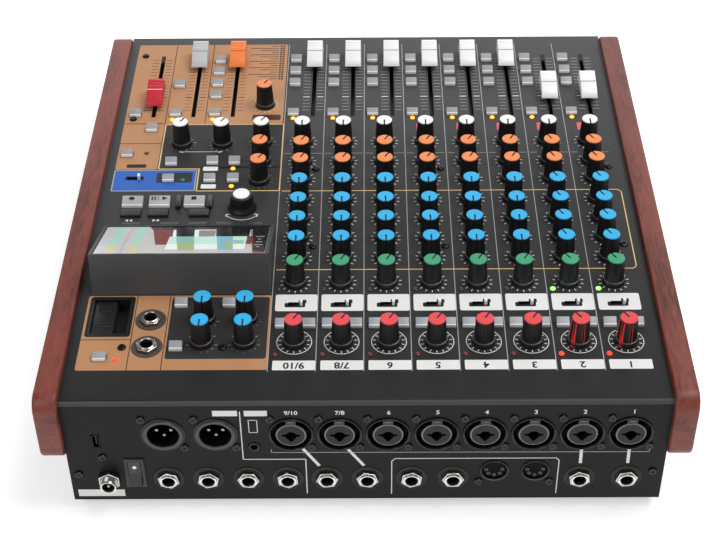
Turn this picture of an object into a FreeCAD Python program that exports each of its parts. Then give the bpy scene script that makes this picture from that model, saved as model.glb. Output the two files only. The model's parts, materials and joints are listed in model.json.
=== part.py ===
import FreeCAD, Part
import math
import os

V = FreeCAD.Vector

# A twelve-input mixer recorder in millimetres, +Z up. The user sits at -Y and the sockets are at +Y.
# It is drawn on its control deck: u runs to the user's right, v back along the deck, w out of the deck.
# At the end everything is tilted by the deck's slope and stands on its feet.
# The case is as wide as its columns, as long as its rows of controls and as high as its rows of sockets.

# Case, and how deep the sockets reach behind the rear panel to their board
deck_slope = 5.0
sheet = 1.2
bend_radius = 3.0
front_lip = 12.0
flange = 5.0
overshoot = 1.0
socket_depth = 22.0

# Columns: eight channel strips, the first at the user's left, then four columns of the master section
channels = ("1", "2", "3", "4", "5", "6", "7_8", "9_10")
columns = channels + ("return", "effect", "sub", "main")
channel_pitch = 25.4
left_margin = 7.7
right_margin = 5.5

# Rows of controls, each a step behind the one before, from the deck's front edge to its rear edge
fader_front_v = 32.0
fader_travel = 60.0
pan_step = 30.0
send_steps = (20.8, 17.7)
eq_steps = (20.0, 18.5, 17.5, 18.0)
comp_step = 21.3
switch_step = 18.2
input_key_step = 17.4
gain_step = 13.1
rear_step = 45.5

# Rows of sockets on the rear panel, from the deck down to the rear edge of the floor
mic_row_drop = 23.4
jack_row_drop = 34.0
rear_foot_drop = 16.6

# Wooden cheeks, outlined on the deck's own plane
cheek_thickness = 12.5
cheek_rise = 4.5
cheek_drop = 39.5
cheek_front = 3.0
cheek_rear = 5.0
cheek_corner = 9.0

# Feet and what stands on the tray's floor
foot_height = 6.5
foot_radius = 9.0
foot_taper = 1.0
foot_inset_x = 24.0
foot_inset_y = 22.0
foot_sides = 12
standoff_height = 6.0
standoff_radius = 3.0
board = 1.6
main_board_side = 34.0
main_board_length = 230.0
main_board_front = 45.0
standoff_inset = 10.0

# Round things that need no true bore are drawn with flats
round_sides = 16
hidden_sides = 6

# Knobs: a flared skirt, then a grip that tapers to the cap, with a ridge that points
knob_sides = 7
knob_skirt_radius = 6.3
knob_base_radius = 5.6
knob_cap_radius = 4.7
knob_skirt_height = 2.4
knob_height = 16.7
knob_lift = 0.3
pointer_reach = 1.1
knob_half_turn = 150.0
gain_offset = -0.9

# Potentiometers behind the knobs
pot_width = 10.0
pot_depth = 9.0

# Faders: a cap that is a little hollow along its top, and a blade through the deck's slot
fader_offset = -5.4
fader_length = 24.0
fader_width = 10.8
fader_end_taper = 0.5
fader_end_height = 9.3
fader_dip_height = 8.1
fader_lift = 1.5
fader_blade = 1.2
fader_blade_length = 3.0
fader_blade_depth = 6.5
slot_width = 2.6
slot_end_clearance = 0.5
track_width = 7.0
track_overhang = 5.0
track_groove_floor = 1.5

# Small keys: three beside each fader's front half, and a lower one that mutes beside its rear end
small_key = (7.2, 4.8)
key_taper = 0.5
key_height = 4.2
input_key_height = 3.6
low_key_height = 2.8
key_stop = 1.2
key_clearance = 0.3
key_travel = 1.0
channel_key_offset = 7.2
channel_key_steps = (-3.2, 11.3, 25.4)
mute_key_step = -0.9
input_key_offsets = (6.4, -8.4)

# Slide switches
lever_width = 1.6
lever_length = 2.6
lever_height = 3.0
switch_slot_length = 9.2
switch_travel = 5.4
switch_offset = -1.0
switch_body = (12.0, 8.0)

# Lamps: small lenses on the deck
lamp_width = 2.6
lamp_height = 0.8
channel_lamps = ((7.2, "mute", 4.2), (9.1, "comp", 6.3), (9.2, "gain", 9.9))

# Master section: its column, the distance from the column's middle, its row and the distance behind the row.
# A fader has its column, the distance from it and how far it is pushed from its front end.
# A knob also has its pointer's turn from straight back, clockwise.
master_lamps = (
    ("sub", 8.1, "mute", 5.0), ("effect", 7.8, "mute", 5.0), ("effect", -8.7, "send_one", 6.6),
    ("effect", -8.8, "send_two", 6.5), ("main", -4.9, "pan", 10.9), ("sub", -4.3, "send_two", 0.3),
    ("main", -7.9, "gain", 13.6),
)
channel_fader_rest = (38.4, 38.4, 0.0, 0.0, 0.0, 0.0, 0.0, 0.0)
master_faders = {
    "main_fader": ("main", -4.9, 45.0), "sub_fader": ("sub", -5.0, 0.0),
    "effect_fader": ("effect", -4.8, 0.0),
}
master_knobs = {
    "effect_level_knob": ("return", 0.2, "mute", -11.0, -150.0),
    "phones_left_knob": ("sub", -0.7, "pan", 1.0, -150.0),
    "phones_right_knob": ("effect", -0.5, "pan", 1.0, -150.0),
    "return_level_knob": ("return", 0.1, "pan", 0.3, -150.0),
    "return_send_one_knob": ("return", -0.1, "send_one", -1.2, -150.0),
    "return_send_two_knob": ("return", -0.1, "send_two", 0.6, -150.0),
    "master_high_knob": ("return", 0.4, "gain", -0.1, 0.0),
    "master_low_knob": ("return", 0.4, "gain", -18.6, 0.0),
    "master_mid_knob": ("effect", -2.0, "gain", -0.1, 0.0),
    "master_frequency_knob": ("effect", -2.0, "gain", -18.6, 0.0),
}
master_keys = (
    ("sub", 6.7, "fader", 26.7), ("effect", 7.0, "fader", -2.2), ("effect", 7.1, "fader", 11.9),
    ("effect", 7.1, "fader", 25.7), ("effect", 7.1, "fader", 39.6), ("main", 6.6, "mute", -0.2),
    ("main", -5.5, "pan", -13.9), ("sub", 4.2, "send_one", 0.9), ("effect", 4.3, "send_one", 0.1),
    ("effect", 4.7, "send_two", 0.2), ("effect", -9.3, "send_one", 0.3),
    ("effect", -9.5, "send_two", 0.0), ("effect", 11.5, "switch", 0.2), ("return", 10.6, "switch", 0.5),
    ("effect", 11.4, "gain", 4.4),
)
low_master_keys = (
    ("sub", 6.6, "mute", -0.9), ("effect", 6.8, "mute", -0.9), ("main", 7.0, "pan", 12.8),
    ("sub", 4.5, "send_two", -0.3), ("main", 0.6, "gain", 12.1),
)
source_switch = ("main", -0.3, "send_two", -1.9)

# Transport keys and jog dial, in front of the display hump
transport_step = 48.8
large_key = (12.4, 8.2)
large_key_height = 3.4
dark_key = (11.6, 5.6)
soft_key = (11.2, 3.4)
low_key_drop = 1.0
large_key_gap = 25.7
dark_key_gap = 15.3
soft_key_gap = 3.9
large_keys = (("main", -2.1), ("sub", 7.2), ("effect", 11.9))
dark_keys = (("main", -2.1), ("sub", 7.1), ("effect", 8.3))
soft_keys = (("return", 1.0), ("effect", -8.1), ("effect", 8.2), ("sub", -0.9), ("main", -3.8))
jog_place = ("return", 8.6)
jog_gap = 21.3
jog_sides = 16
jog_radii = (8.2, 6.9, 6.3, 4.8)
jog_heights = (0.0, 3.0, 10.0, 10.9)

# Display hump
hump_left_inset = 1.0
hump_right_inset = 1.8
hump_length = 52.9
hump_front_height = 4.4
hump_height = 26.6
hump_lean = 3.2
window = 1.8
window_edge = 1.7
window_clearance = 0.2
display_depth = 4.0
display_margin = 5.0

# Card bay on the deck, between the hump, the phones sockets and the last column's right edge
bay_front_gap = 2.6
bay_length = 31.0
bay_side_gap = 3.8
bay_right_inset = 2.3
bay_depth = 10.0
bay_wall = 1.5
bay_step_width = 12.5
bay_step_drop = 3.5
bay_clearance = 0.3

# Room around every socket, frame and pin that passes through a panel or turns in a seat
hole_clearance = 0.3

# Round sockets of the quarter inch kind. Each place is a column and the distance from its middle.
jack_bore_radius = 3.25
jack_bore_length = 16.0
jack_bush_radius = 4.6
jack_body = 14.0
nut_across_flats = 11.5
nut_height = 2.6
jack_places = (
    ("sub", -9.2), ("effect", -5.2), ("return", -1.3), ("9_10", 2.9), ("7_8", 7.2), ("6", 11.0),
    ("5", 12.7), ("5", -9.5), ("2", -1.2), ("1", -1.0),
)
phones_place = ("sub", 1.7)
phones_steps = (-18.0, 3.3)

# Combination sockets and male three-pin sockets
mic_body_gap = 1.0
mic_body_height = 30.0
mic_hole_wall = 0.9
male_places = (("sub", -9.1), ("effect", -11.1))
male_recess_radius = 8.4
male_recess_depth = 13.0
pin_radius = 1.2
pin_circle = 3.81
pin_angles = (0, 90, 180)
pin_length = 8.0

# Five-pin DIN sockets
din_places = (("4", -6.2), ("3", -2.6))
din_rise = 5.4
din_radius = 7.6
din_body = 18.0
din_body_depth = 13.0
din_recess = 1.5
din_shell = 0.8

# Small ports and the power switch
usb_place = ("main", 1.3)
usb_drop = 28.2
usb_width = 3.2
usb_length = 9.0
usb_wall = 0.4
usb_depth = 7.0
mini_place = ("return", -5.6)
mini_drop = 32.8
mini_bore_radius = 1.8
mini_radius = 3.0
mini_depth = 12.0
mini_bore_length = 11.0
inlet_place = ("main", -2.8)
inlet_rise = 0.4
inlet_radius = 5.0
inlet_bore_radius = 3.2
inlet_bore_length = 9.0
inlet_proud = 9.0
inlet_nut_flats = 12.0
inlet_nut_height = 3.0
inlet_pin_radius = 1.0
rocker_place = ("main", -17.0)
rocker_rise = 5.0
bezel_width = 11.0
bezel_length = 22.0
bezel_proud = 0.8
bezel_frame = 1.9
rocker_clearance = 0.6
rocker_body_depth = 14.0
rocker_axis_depth = 2.5
rocker_belly = 4.0
rocker_end = 2.4
rocker_tilt = 8.0
rocker_pin_radius = 1.0

# What follows from the sizes above: the case and the columns
slope = math.radians(deck_slope)
case_width = left_margin + len(columns) * channel_pitch + right_margin
half_width = case_width / 2
rear_height = mic_row_drop + jack_row_drop + rear_foot_drop


def column_u(name, offset=0.0):
    left_edge = -half_width + left_margin + channel_pitch * columns.index(name)
    return left_edge + channel_pitch / 2 + offset


# The rows of controls
fader_rear_v = fader_front_v + fader_travel
pan_v = fader_rear_v + pan_step
send_rows = (pan_v + send_steps[0], pan_v + sum(send_steps))
eq_rows = [send_rows[1] + sum(eq_steps[:i + 1]) for i in range(len(eq_steps))]
comp_v = eq_rows[-1] + comp_step
switch_row_v = comp_v + switch_step
input_key_v = switch_row_v + input_key_step
gain_v = input_key_v + gain_step
deck_length = gain_v + rear_step
rows = {"fader": fader_front_v, "mute": fader_rear_v, "pan": pan_v, "send_one": send_rows[0],
        "send_two": send_rows[1], "comp": comp_v, "switch": switch_row_v, "gain": gain_v}

# Heights and depths
front_height = rear_height - deck_length * math.tan(slope)
under_deck = -sheet
board_top = under_deck - pot_depth
rear_inner = deck_length - sheet
hole_floor = under_deck - overshoot
hole_depth = sheet + 2 * overshoot
key_below = key_travel + key_stop
rear_board_v = rear_inner - socket_depth - board
fader_slot = fader_travel + fader_blade_length + 2 * slot_end_clearance
fader_slot_front = fader_front_v - fader_blade_length / 2 - slot_end_clearance

# The hump, the bay and the jog dial
hump_left = column_u("return") - channel_pitch / 2 + hump_left_inset
hump_right = column_u("main") + channel_pitch / 2 - hump_right_inset
hump_width = hump_right - hump_left
hump_u = (hump_left + hump_right) / 2
hump_front_v = send_rows[1] + transport_step
hump_rear_v = hump_front_v + hump_length
hump_foot_v = hump_rear_v + hump_lean
phones_u = column_u(*phones_place)
bay_left = phones_u + jack_body / 2 + bay_side_gap
bay_right = column_u("main") + channel_pitch / 2 - bay_right_inset
bay_width = bay_right - bay_left
bay_u = (bay_left + bay_right) / 2
bay_v = hump_foot_v + bay_front_gap + bay_length / 2
jog_u = column_u(*jog_place)
jog_v = hump_front_v - jog_gap

# The rear panel
mic_row_w = -mic_row_drop
jack_row_w = mic_row_w - jack_row_drop
din_w = jack_row_w + din_rise
inlet_w = jack_row_w + inlet_rise
rocker_w = jack_row_w + rocker_rise
jack_us = [column_u(*place) for place in jack_places]
male_us = [column_u(*place) for place in male_places]
din_us = [column_u(*place) for place in din_places]
usb_u = column_u(*usb_place)
mini_u = column_u(*mini_place)
inlet_u = column_u(*inlet_place)
rocker_u = column_u(*rocker_place)
mic_body_width = channel_pitch - mic_body_gap
mic_hole_radius = mic_body_width / 2 - mic_hole_wall
main_board_width = case_width - 2 * main_board_side


def place_of(column, offset, row, behind):
    return column_u(column, offset), rows[row] + behind


def floor_under(v):
    return -(front_height + v * math.tan(slope))


def floor_top(v):
    return floor_under(v) + sheet / math.cos(slope)


def box(u, v, w, du, dv, dw):
    return Part.makeBox(du, dv, dw, V(u, v, w))


def block(u, v, w, du, dv, dw):
    return box(u - du / 2, v - dv / 2, w, du, dv, dw)


def polygon(points):
    return Part.Face(Part.makePolygon(list(points) + [points[0]]))


def fused(shapes):
    whole = shapes[0]
    for shape in shapes[1:]:
        whole = whole.fuse(shape)
    return whole.removeSplitter()


def side_prism(profile, u, width):
    """A solid with this (v, w) profile, between u and u + width."""
    face = polygon([V(u, v, w) for v, w in profile])
    return face.extrude(V(width, 0, 0))


def ring(u, v, w, radius, sides, turn=0.0):
    step = 2 * math.pi / sides
    angles = [turn + step * (i + 0.5) for i in range(sides)]
    return [V(u + radius * math.cos(a), v + radius * math.sin(a), w) for a in angles]


def rectangle(u, v, w, du, dv):
    corners = ((-1, -1), (1, -1), (1, 1), (-1, 1))
    return [V(u + a * du / 2, v + b * dv / 2, w) for a, b in corners]


def faceted(rings):
    """A closed solid of flat faces through rings of points, from the lowest to the highest."""
    faces = [polygon(rings[0]), polygon(rings[-1])]
    for low, high in zip(rings, rings[1:]):
        for i in range(len(low)):
            j = (i + 1) % len(low)
            faces.append(polygon([low[i], low[j], high[j], high[i]]))
    solid = Part.makeSolid(Part.makeShell(faces))
    if solid.Volume < 0:
        solid.reverse()
    return solid


def flat_sided(u, v, w, radius, sides, height):
    return faceted([ring(u, v, w, radius, sides), ring(u, v, w + height, radius, sides)])


def out_of_rear(shape, u, w, v=deck_length):
    """Turns a shape drawn about +w at the origin so that it points out of the rear panel at (u, w)."""
    turned = shape.copy()
    turned.rotate(V(0, 0, 0), V(1, 0, 0), -90)
    turned.translate(V(u, v, w))
    return turned


def on_deck(shape, u, v, w=0.0):
    moved = shape.copy()
    moved.translate(V(u, v, w))
    return moved


def on_floor(shape):
    """Takes a shape drawn on the level floor, from its lower front edge, to the deck's frame."""
    level = shape.copy()
    level.translate(V(0, 0, -front_height))
    level.rotate(V(0, 0, -front_height), V(1, 0, 0), -deck_slope)
    return level


# Controls

def knob_ring(u, v, w, radius, turn):
    """The corner that points lies at the turn, clockwise from straight back, and stands out a little."""
    points = []
    for i in range(knob_sides):
        a = math.radians(90 - turn + 360 / knob_sides * i)
        r = radius * pointer_reach if i == 0 else radius
        points.append(V(u + r * math.cos(a), v + r * math.sin(a), w))
    return points


def knob(u, v, turn):
    return faceted([
        knob_ring(u, v, knob_lift, knob_skirt_radius, turn),
        knob_ring(u, v, knob_lift + knob_skirt_height, knob_base_radius, turn),
        knob_ring(u, v, knob_lift + knob_height, knob_cap_radius, turn),
    ])


def pot(u, v):
    return block(u, v, board_top, pot_width, pot_width, pot_depth)


def fader(u, rest):
    v = fader_front_v + rest
    half = fader_length / 2
    end = half - fader_end_taper
    profile = [
        (v - half, fader_lift),
        (v + half, fader_lift),
        (v + end, fader_end_height),
        (v, fader_dip_height),
        (v - end, fader_end_height),
    ]
    cap = side_prism(profile, u - fader_width / 2, fader_width)
    blade_height = fader_lift - under_deck + fader_blade_depth
    blade = block(u, v, fader_lift - blade_height, fader_blade, fader_blade_length, blade_height)
    return cap.fuse(blade)


def fader_hole(u):
    return box(u - slot_width / 2, fader_slot_front, hole_floor, slot_width, fader_slot, hole_depth)


def fader_track(u):
    front = fader_slot_front - track_overhang
    body = box(u - track_width / 2, front, board_top, track_width, fader_slot + 2 * track_overhang, pot_depth)
    groove_depth = pot_depth - track_groove_floor
    floor = under_deck - groove_depth
    groove = box(u - slot_width / 2, fader_slot_front, floor, slot_width, fader_slot, groove_depth)
    return body.cut(groove)


def key(u, v, size, height):
    du, dv = size
    return faceted([
        rectangle(u, v, under_deck - key_below, du, dv),
        rectangle(u, v, height, du - 2 * key_taper, dv - 2 * key_taper),
    ])


def key_hole(u, v, size):
    du, dv = size
    return block(u, v, hole_floor, du + 2 * key_clearance, dv + 2 * key_clearance, hole_depth)


def lever(u, v):
    return block(u, v, under_deck - key_below, lever_width, lever_length, key_below + sheet + lever_height)


def lever_slot(u, v):
    return block(u, v, hole_floor, switch_slot_length, lever_length + 2 * key_clearance, hole_depth)


def switch_case(u, v):
    height = pot_depth - key_below - key_clearance
    return block(u, v, board_top, switch_body[0], switch_body[1], height)


def lamp(u, v):
    return block(u, v, 0.0, lamp_width, lamp_width, lamp_height)


def jog_dial():
    levels = zip(jog_radii, jog_heights)
    return faceted([ring(jog_u, jog_v, knob_lift + h, r, jog_sides) for r, h in levels])


# Sockets, drawn about +w with the panel's outer face at w = 0

def circumradius(flat_radius, sides):
    return flat_radius / math.cos(math.pi / sides)


def hexagon(across_flats, bottom, height):
    return flat_sided(0, 0, bottom, circumradius(across_flats / 2, 6), 6, height)


def panel_hole(radius, sides):
    """A hole with flats that a round neck of this radius passes with its clearance."""
    return flat_sided(0, 0, hole_floor, circumradius(radius + hole_clearance, sides), sides, hole_depth)


def jack_bore(mouth):
    length = jack_bore_length + overshoot
    return Part.makeCylinder(jack_bore_radius, length, V(0, 0, mouth - jack_bore_length))


def jack():
    body = block(0, 0, -sheet - socket_depth, jack_body, jack_body, socket_depth)
    bush = hexagon(2 * jack_bush_radius, -sheet, sheet)
    nut = hexagon(nut_across_flats, 0, nut_height)
    bore = jack_bore(nut_height)
    return fused([body, bush, nut]).cut(bore)


def mic_body():
    return block(0, 0, -sheet - socket_depth, mic_body_width, mic_body_height, socket_depth)


def combo():
    bore = jack_bore(-sheet)
    return mic_body().cut(bore)


def male_socket():
    floor = -sheet - male_recess_depth
    recess = flat_sided(0, 0, floor, male_recess_radius, round_sides, male_recess_depth + overshoot)
    pins = []
    for angle in pin_angles:
        a = math.radians(angle)
        x, y = pin_circle * math.cos(a), pin_circle * math.sin(a)
        pins.append(flat_sided(x, y, floor, pin_radius, hidden_sides, pin_length))
    return fused([mic_body().cut(recess)] + pins)


def din_socket():
    body = block(0, 0, -sheet - din_body_depth, din_body, din_body, din_body_depth)
    neck = flat_sided(0, 0, -sheet, din_radius, round_sides, sheet)
    inner = flat_sided(0, 0, -din_recess, din_radius - din_shell, round_sides, din_recess + overshoot)
    return fused([body, neck]).cut(inner)


def usb_port():
    du, dv = usb_width + 2 * usb_wall, usb_length + 2 * usb_wall
    shell = block(0, 0, -sheet - usb_depth, du, dv, usb_depth + sheet)
    mouth = block(0, 0, -usb_depth, usb_width, usb_length, usb_depth + overshoot)
    tongue = block(0, 0, -usb_depth, usb_width / 4, usb_length * 0.7, usb_depth - usb_wall)
    return fused([shell.cut(mouth), tongue])


def mini_jack():
    body = block(0, 0, -sheet - mini_depth, 2.4 * mini_radius, 2.4 * mini_radius, mini_depth)
    neck = flat_sided(0, 0, -sheet, mini_radius, hidden_sides, sheet)
    bore = Part.makeCylinder(mini_bore_radius, mini_bore_length + overshoot, V(0, 0, -mini_bore_length))
    return fused([body, neck]).cut(bore)


def power_inlet():
    body = block(0, 0, -sheet - mini_depth, 2.4 * inlet_radius, 2.4 * inlet_radius, mini_depth)
    barrel = flat_sided(0, 0, -sheet, inlet_radius, round_sides, inlet_proud + sheet)
    nut = hexagon(inlet_nut_flats, 0, inlet_nut_height)
    floor = inlet_proud - inlet_bore_length
    bore = flat_sided(0, 0, floor, inlet_bore_radius, round_sides, inlet_bore_length + overshoot)
    pin = flat_sided(0, 0, floor, inlet_pin_radius, hidden_sides, inlet_bore_length - inlet_pin_radius)
    return fused([fused([body, nut, barrel]).cut(bore), pin])


def well_size():
    return bezel_width - 2 * bezel_frame, bezel_length - 2 * bezel_frame


def switch_frame():
    du, dv = well_size()
    depth = sheet + rocker_body_depth
    body = block(0, 0, -depth, du + bezel_frame, dv + bezel_frame, depth)
    bezel = block(0, 0, 0, bezel_width, bezel_length, bezel_proud)
    well_depth = rocker_axis_depth + rocker_belly + rocker_clearance
    well = block(0, 0, bezel_proud - well_depth, du, dv, well_depth + overshoot)
    side = 2 * (rocker_pin_radius + hole_clearance)
    sockets = block(0, 0, bezel_proud - rocker_axis_depth - side / 2, du + bezel_frame / 2, side, side)
    return fused([body, bezel]).cut(well).cut(sockets)


def rocker():
    """Its rounded belly turns about the same axis as its two pins."""
    du, dv = well_size()
    width = du - 2 * hole_clearance
    half = dv / 2 - rocker_clearance
    end = bezel_proud + half * math.tan(math.radians(rocker_tilt))
    axis = bezel_proud - rocker_axis_depth
    reach, drop = rocker_belly * math.cos(math.radians(30)), rocker_belly * math.sin(math.radians(30))
    belly = Part.Arc(V(0, reach, axis - drop), V(0, 0, axis - rocker_belly), V(0, -reach, axis - drop))
    left = [V(0, -reach, axis - drop), V(0, -half, end - rocker_end), V(0, -half, end)]
    right = [V(0, half, end), V(0, half, end - rocker_end), V(0, reach, axis - drop)]
    outline = left + [V(0, 0, bezel_proud)] + right
    edges = [Part.makeLine(a, b) for a, b in zip(outline, outline[1:])]
    solid = Part.Face(Part.Wire(edges + [belly.toShape()])).extrude(V(width, 0, 0))
    solid.translate(V(-width / 2, 0, 0))
    pin_length = du + bezel_frame / 2 - hole_clearance
    pin = flat_sided(0, 0, -pin_length / 2, rocker_pin_radius, hidden_sides, pin_length)
    pin.rotate(V(0, 0, 0), V(0, 1, 0), 90)
    pin.translate(V(0, 0, axis))
    whole = fused([solid, pin])
    whole.rotate(V(0, 0, axis), V(1, 0, 0), rocker_tilt)
    return whole


# Case

def top_cover_blank():
    """Deck and rear panel are one folded sheet, with a short lip down at the front."""
    r, t = bend_radius, sheet
    s = math.sin(math.radians(45))
    q = r - t
    bend = deck_length - r
    outer = Part.Arc(V(0, bend, 0), V(0, bend + r * s, r * s - r), V(0, deck_length, -r))
    inner = Part.Arc(V(0, rear_inner, -r), V(0, bend + q * s, q * s - r), V(0, bend, -t))
    points_a = [V(0, t, -t), V(0, t, -front_lip), V(0, 0, -front_lip), V(0, 0, 0), V(0, bend, 0)]
    points_b = [V(0, deck_length, -r), V(0, deck_length, floor_top(deck_length)),
                V(0, rear_inner, floor_top(rear_inner)), V(0, rear_inner, -r)]
    edges = [Part.makeLine(a, b) for a, b in zip(points_a, points_a[1:])]
    edges.append(outer.toShape())
    edges += [Part.makeLine(a, b) for a, b in zip(points_b, points_b[1:])]
    edges.append(inner.toShape())
    edges.append(Part.makeLine(V(0, bend, -t), points_a[0]))
    face = Part.Face(Part.Wire(edges))
    face.translate(V(-half_width, 0, 0))
    return face.extrude(V(case_width, 0, 0))


def rear_holes():
    jack_hole = panel_hole(jack_bush_radius, hidden_sides)
    mic_hole = flat_sided(0, 0, hole_floor, mic_hole_radius, round_sides, hole_depth)
    din_hole = panel_hole(din_radius, round_sides)
    rim = 2 * (usb_wall + hole_clearance)
    usb_hole = block(0, 0, hole_floor, usb_width + rim, usb_length + rim, hole_depth)
    du, dv = well_size()
    rim = bezel_frame + 2 * hole_clearance
    frame_hole = block(0, 0, hole_floor, du + rim, dv + rim, hole_depth)
    holes = [out_of_rear(jack_hole, u, jack_row_w) for u in jack_us]
    holes += [out_of_rear(mic_hole, u, mic_row_w) for u in mic_us()]
    holes += [out_of_rear(din_hole, u, din_w) for u in din_us]
    holes.append(out_of_rear(usb_hole, usb_u, -usb_drop))
    holes.append(out_of_rear(panel_hole(mini_radius, hidden_sides), mini_u, -mini_drop))
    holes.append(out_of_rear(panel_hole(inlet_radius, hidden_sides), inlet_u, inlet_w))
    holes.append(out_of_rear(frame_hole, rocker_u, rocker_w))
    return holes


def deck_holes():
    jack_hole = panel_hole(jack_bush_radius, hidden_sides)
    holes = [fader_hole(u) for u, rest in all_faders().values()]
    keys = channel_keys() + input_keys() + all_master_keys() + transport_places()
    holes += [key_hole(u, v, size) for u, v, size, height in keys]
    holes += [lever_slot(u, v) for u, v in slide_switches()]
    holes += [on_deck(jack_hole, u, v) for u, v in phones_places()]
    holes.append(block(bay_u, bay_v, hole_floor, bay_width, bay_length, hole_depth))
    return holes


def top_cover():
    return top_cover_blank().cut(Part.makeCompound(deck_holes() + rear_holes()))


def base_tray():
    """Its walls fold up inside the cover's lip and rear panel, and flanges carry the deck."""
    t = sheet
    crease = bend_radius - t
    floor_front = [(t, floor_top(t)), (t, floor_under(t))]
    full = floor_front + [(deck_length, floor_under(deck_length)), (deck_length, floor_top(deck_length))]
    wall = [(t, under_deck), (t, floor_under(t)), (rear_inner, floor_under(rear_inner)),
            (rear_inner, under_deck - crease), (rear_inner - crease, under_deck)]
    top_flange = [(t, under_deck - t), (t, under_deck), (rear_inner - crease, under_deck),
                  (rear_inner - crease, under_deck - t)]
    rear_flange = [(rear_inner - t, floor_top(rear_inner - t)), (rear_inner, floor_top(rear_inner)),
                   (rear_inner, under_deck - crease), (rear_inner - t, under_deck - crease)]
    front = [(t, under_deck), (2 * t, under_deck), (2 * t, floor_under(2 * t)), (t, floor_under(t))]
    pieces = [side_prism(full, -half_width, case_width), side_prism(front, -half_width, case_width)]
    for side in (-1, 1):
        outer = side * half_width
        pieces.append(side_prism(wall, min(outer, outer - side * t), t))
        pieces.append(side_prism(top_flange, min(outer, outer - side * flange), flange))
        pieces.append(side_prism(rear_flange, min(outer, outer - side * flange), flange))
    return fused(pieces)


def cheek(side):
    front, rear = -cheek_front, deck_length + cheek_rear
    inner = side * half_width
    plate = box(min(inner, inner + side * cheek_thickness), front, -cheek_drop, cheek_thickness,
                rear - front, cheek_drop + cheek_rise)
    corners = [e for e in plate.Edges if abs(e.tangentAt(e.FirstParameter).x) > 0.99]
    return plate.makeFillet(cheek_corner, corners)


def foot(x, y):
    rings = [
        ring(x, y, -foot_height, foot_radius - foot_taper, foot_sides),
        ring(x, y, 0, foot_radius, foot_sides),
    ]
    return on_floor(faceted(rings))


def feet():
    rear = deck_length / math.cos(slope) - foot_inset_y
    places = [(x, y) for x in (-1, 1) for y in (foot_inset_y, rear)]
    return [foot(side * (half_width - foot_inset_x), y) for side, y in places]


def main_board():
    plate = box(-main_board_width / 2, main_board_front, sheet + standoff_height, main_board_width,
                main_board_length, board)
    pieces = [plate]
    for side in (-1, 1):
        for y in (main_board_front + standoff_inset, main_board_front + main_board_length - standoff_inset):
            x = side * (main_board_width / 2 - standoff_inset)
            pieces.append(flat_sided(x, y, sheet, standoff_radius, 6, standoff_height))
    return on_floor(fused(pieces))


def control_board():
    front_part = box(-half_width + flange, 2 * flange, board_top - board, case_width - 2 * flange,
                     hump_foot_v - 2 * flange, board)
    rear_width = phones_u - jack_body + half_width - flange
    rear_part = box(-half_width + flange, hump_foot_v, board_top - board, rear_width,
                    rear_board_v - hump_foot_v - flange, board)
    return fused([front_part, rear_part])


def rear_board():
    bottom = jack_row_w - jack_body / 2
    top = mic_row_w + mic_body_height / 2 - sheet
    left = column_u("1") - mic_body_width / 2
    right = male_us[0] + mic_body_width / 2
    return box(left, rear_board_v, bottom, right - left, board, top - bottom)


# Display hump, with its sloping recess for display and window

def hump_line():
    run = hump_rear_v - hump_front_v
    rise = hump_height - hump_front_height
    return run, rise, math.degrees(math.atan2(rise, run))


def on_hump(shape):
    """Takes a shape drawn on a level top, its origin at the hump's upper front edge, to the slope."""
    run, rise, angle = hump_line()
    leaned = shape.copy()
    leaned.rotate(V(0, 0, 0), V(1, 0, 0), angle)
    leaned.translate(V(hump_u, hump_front_v, hump_front_height))
    return leaned


def hump_plate(edge, depth, thickness):
    run, rise, angle = hump_line()
    length = math.hypot(run, rise)
    width = hump_width - 2 * edge
    return on_hump(box(-width / 2, edge, -depth - thickness, width, length - 2 * edge, thickness))


def display_housing():
    top = [(hump_rear_v, hump_height), (hump_front_v, hump_front_height)]
    profile = [(hump_front_v, 0), (hump_foot_v, 0)] + top
    wedge = side_prism(profile, hump_u - hump_width / 2, hump_width)
    wide = hump_plate(window_edge, -overshoot, overshoot + window)
    deep = hump_plate(window_edge + display_margin, window, display_depth)
    return wedge.cut(wide).cut(deep)


def display_window():
    return hump_plate(window_edge + window_clearance, 0.0, window)


def display_module():
    return hump_plate(window_edge + display_margin + window_clearance, window, display_depth)


def card_bay():
    clear = bay_clearance
    tub = block(bay_u, bay_v, -bay_depth, bay_width - 2 * clear, bay_length - 2 * clear, bay_depth)
    du = bay_width - 2 * clear - 2 * bay_wall
    dv = bay_length - 2 * clear - 2 * bay_wall
    inside = block(bay_u, bay_v, bay_wall - bay_depth, du, dv, bay_depth)
    step = box(bay_u + du / 2 - bay_step_width, bay_v - dv / 2, bay_wall - bay_depth, bay_step_width, dv,
               bay_depth - bay_wall - bay_step_drop)
    return fused([tub.cut(inside), step])


# Where the repeated controls stand

def mic_us():
    return [column_u(name) for name in channels] + list(male_us)


def channel_keys():
    """Place, size and height of each key beside the channels' faders."""
    places = [(fader_front_v + step, key_height) for step in channel_key_steps]
    places.append((fader_rear_v + mute_key_step, low_key_height))
    us = [column_u(name, channel_key_offset) for name in channels]
    return [(u, v, small_key, height) for u in us for v, height in places]


def input_keys():
    us = [column_u(name, du) for name in channels for du in input_key_offsets]
    return [(u, input_key_v, small_key, input_key_height) for u in us]


def all_master_keys():
    places = [place_of(*place) + (small_key, key_height) for place in master_keys]
    return places + [place_of(*place) + (small_key, low_key_height) for place in low_master_keys]


def slide_switches():
    places = [(column_u(name, switch_offset), switch_row_v) for name in channels]
    return places + [place_of(*source_switch)]


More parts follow.
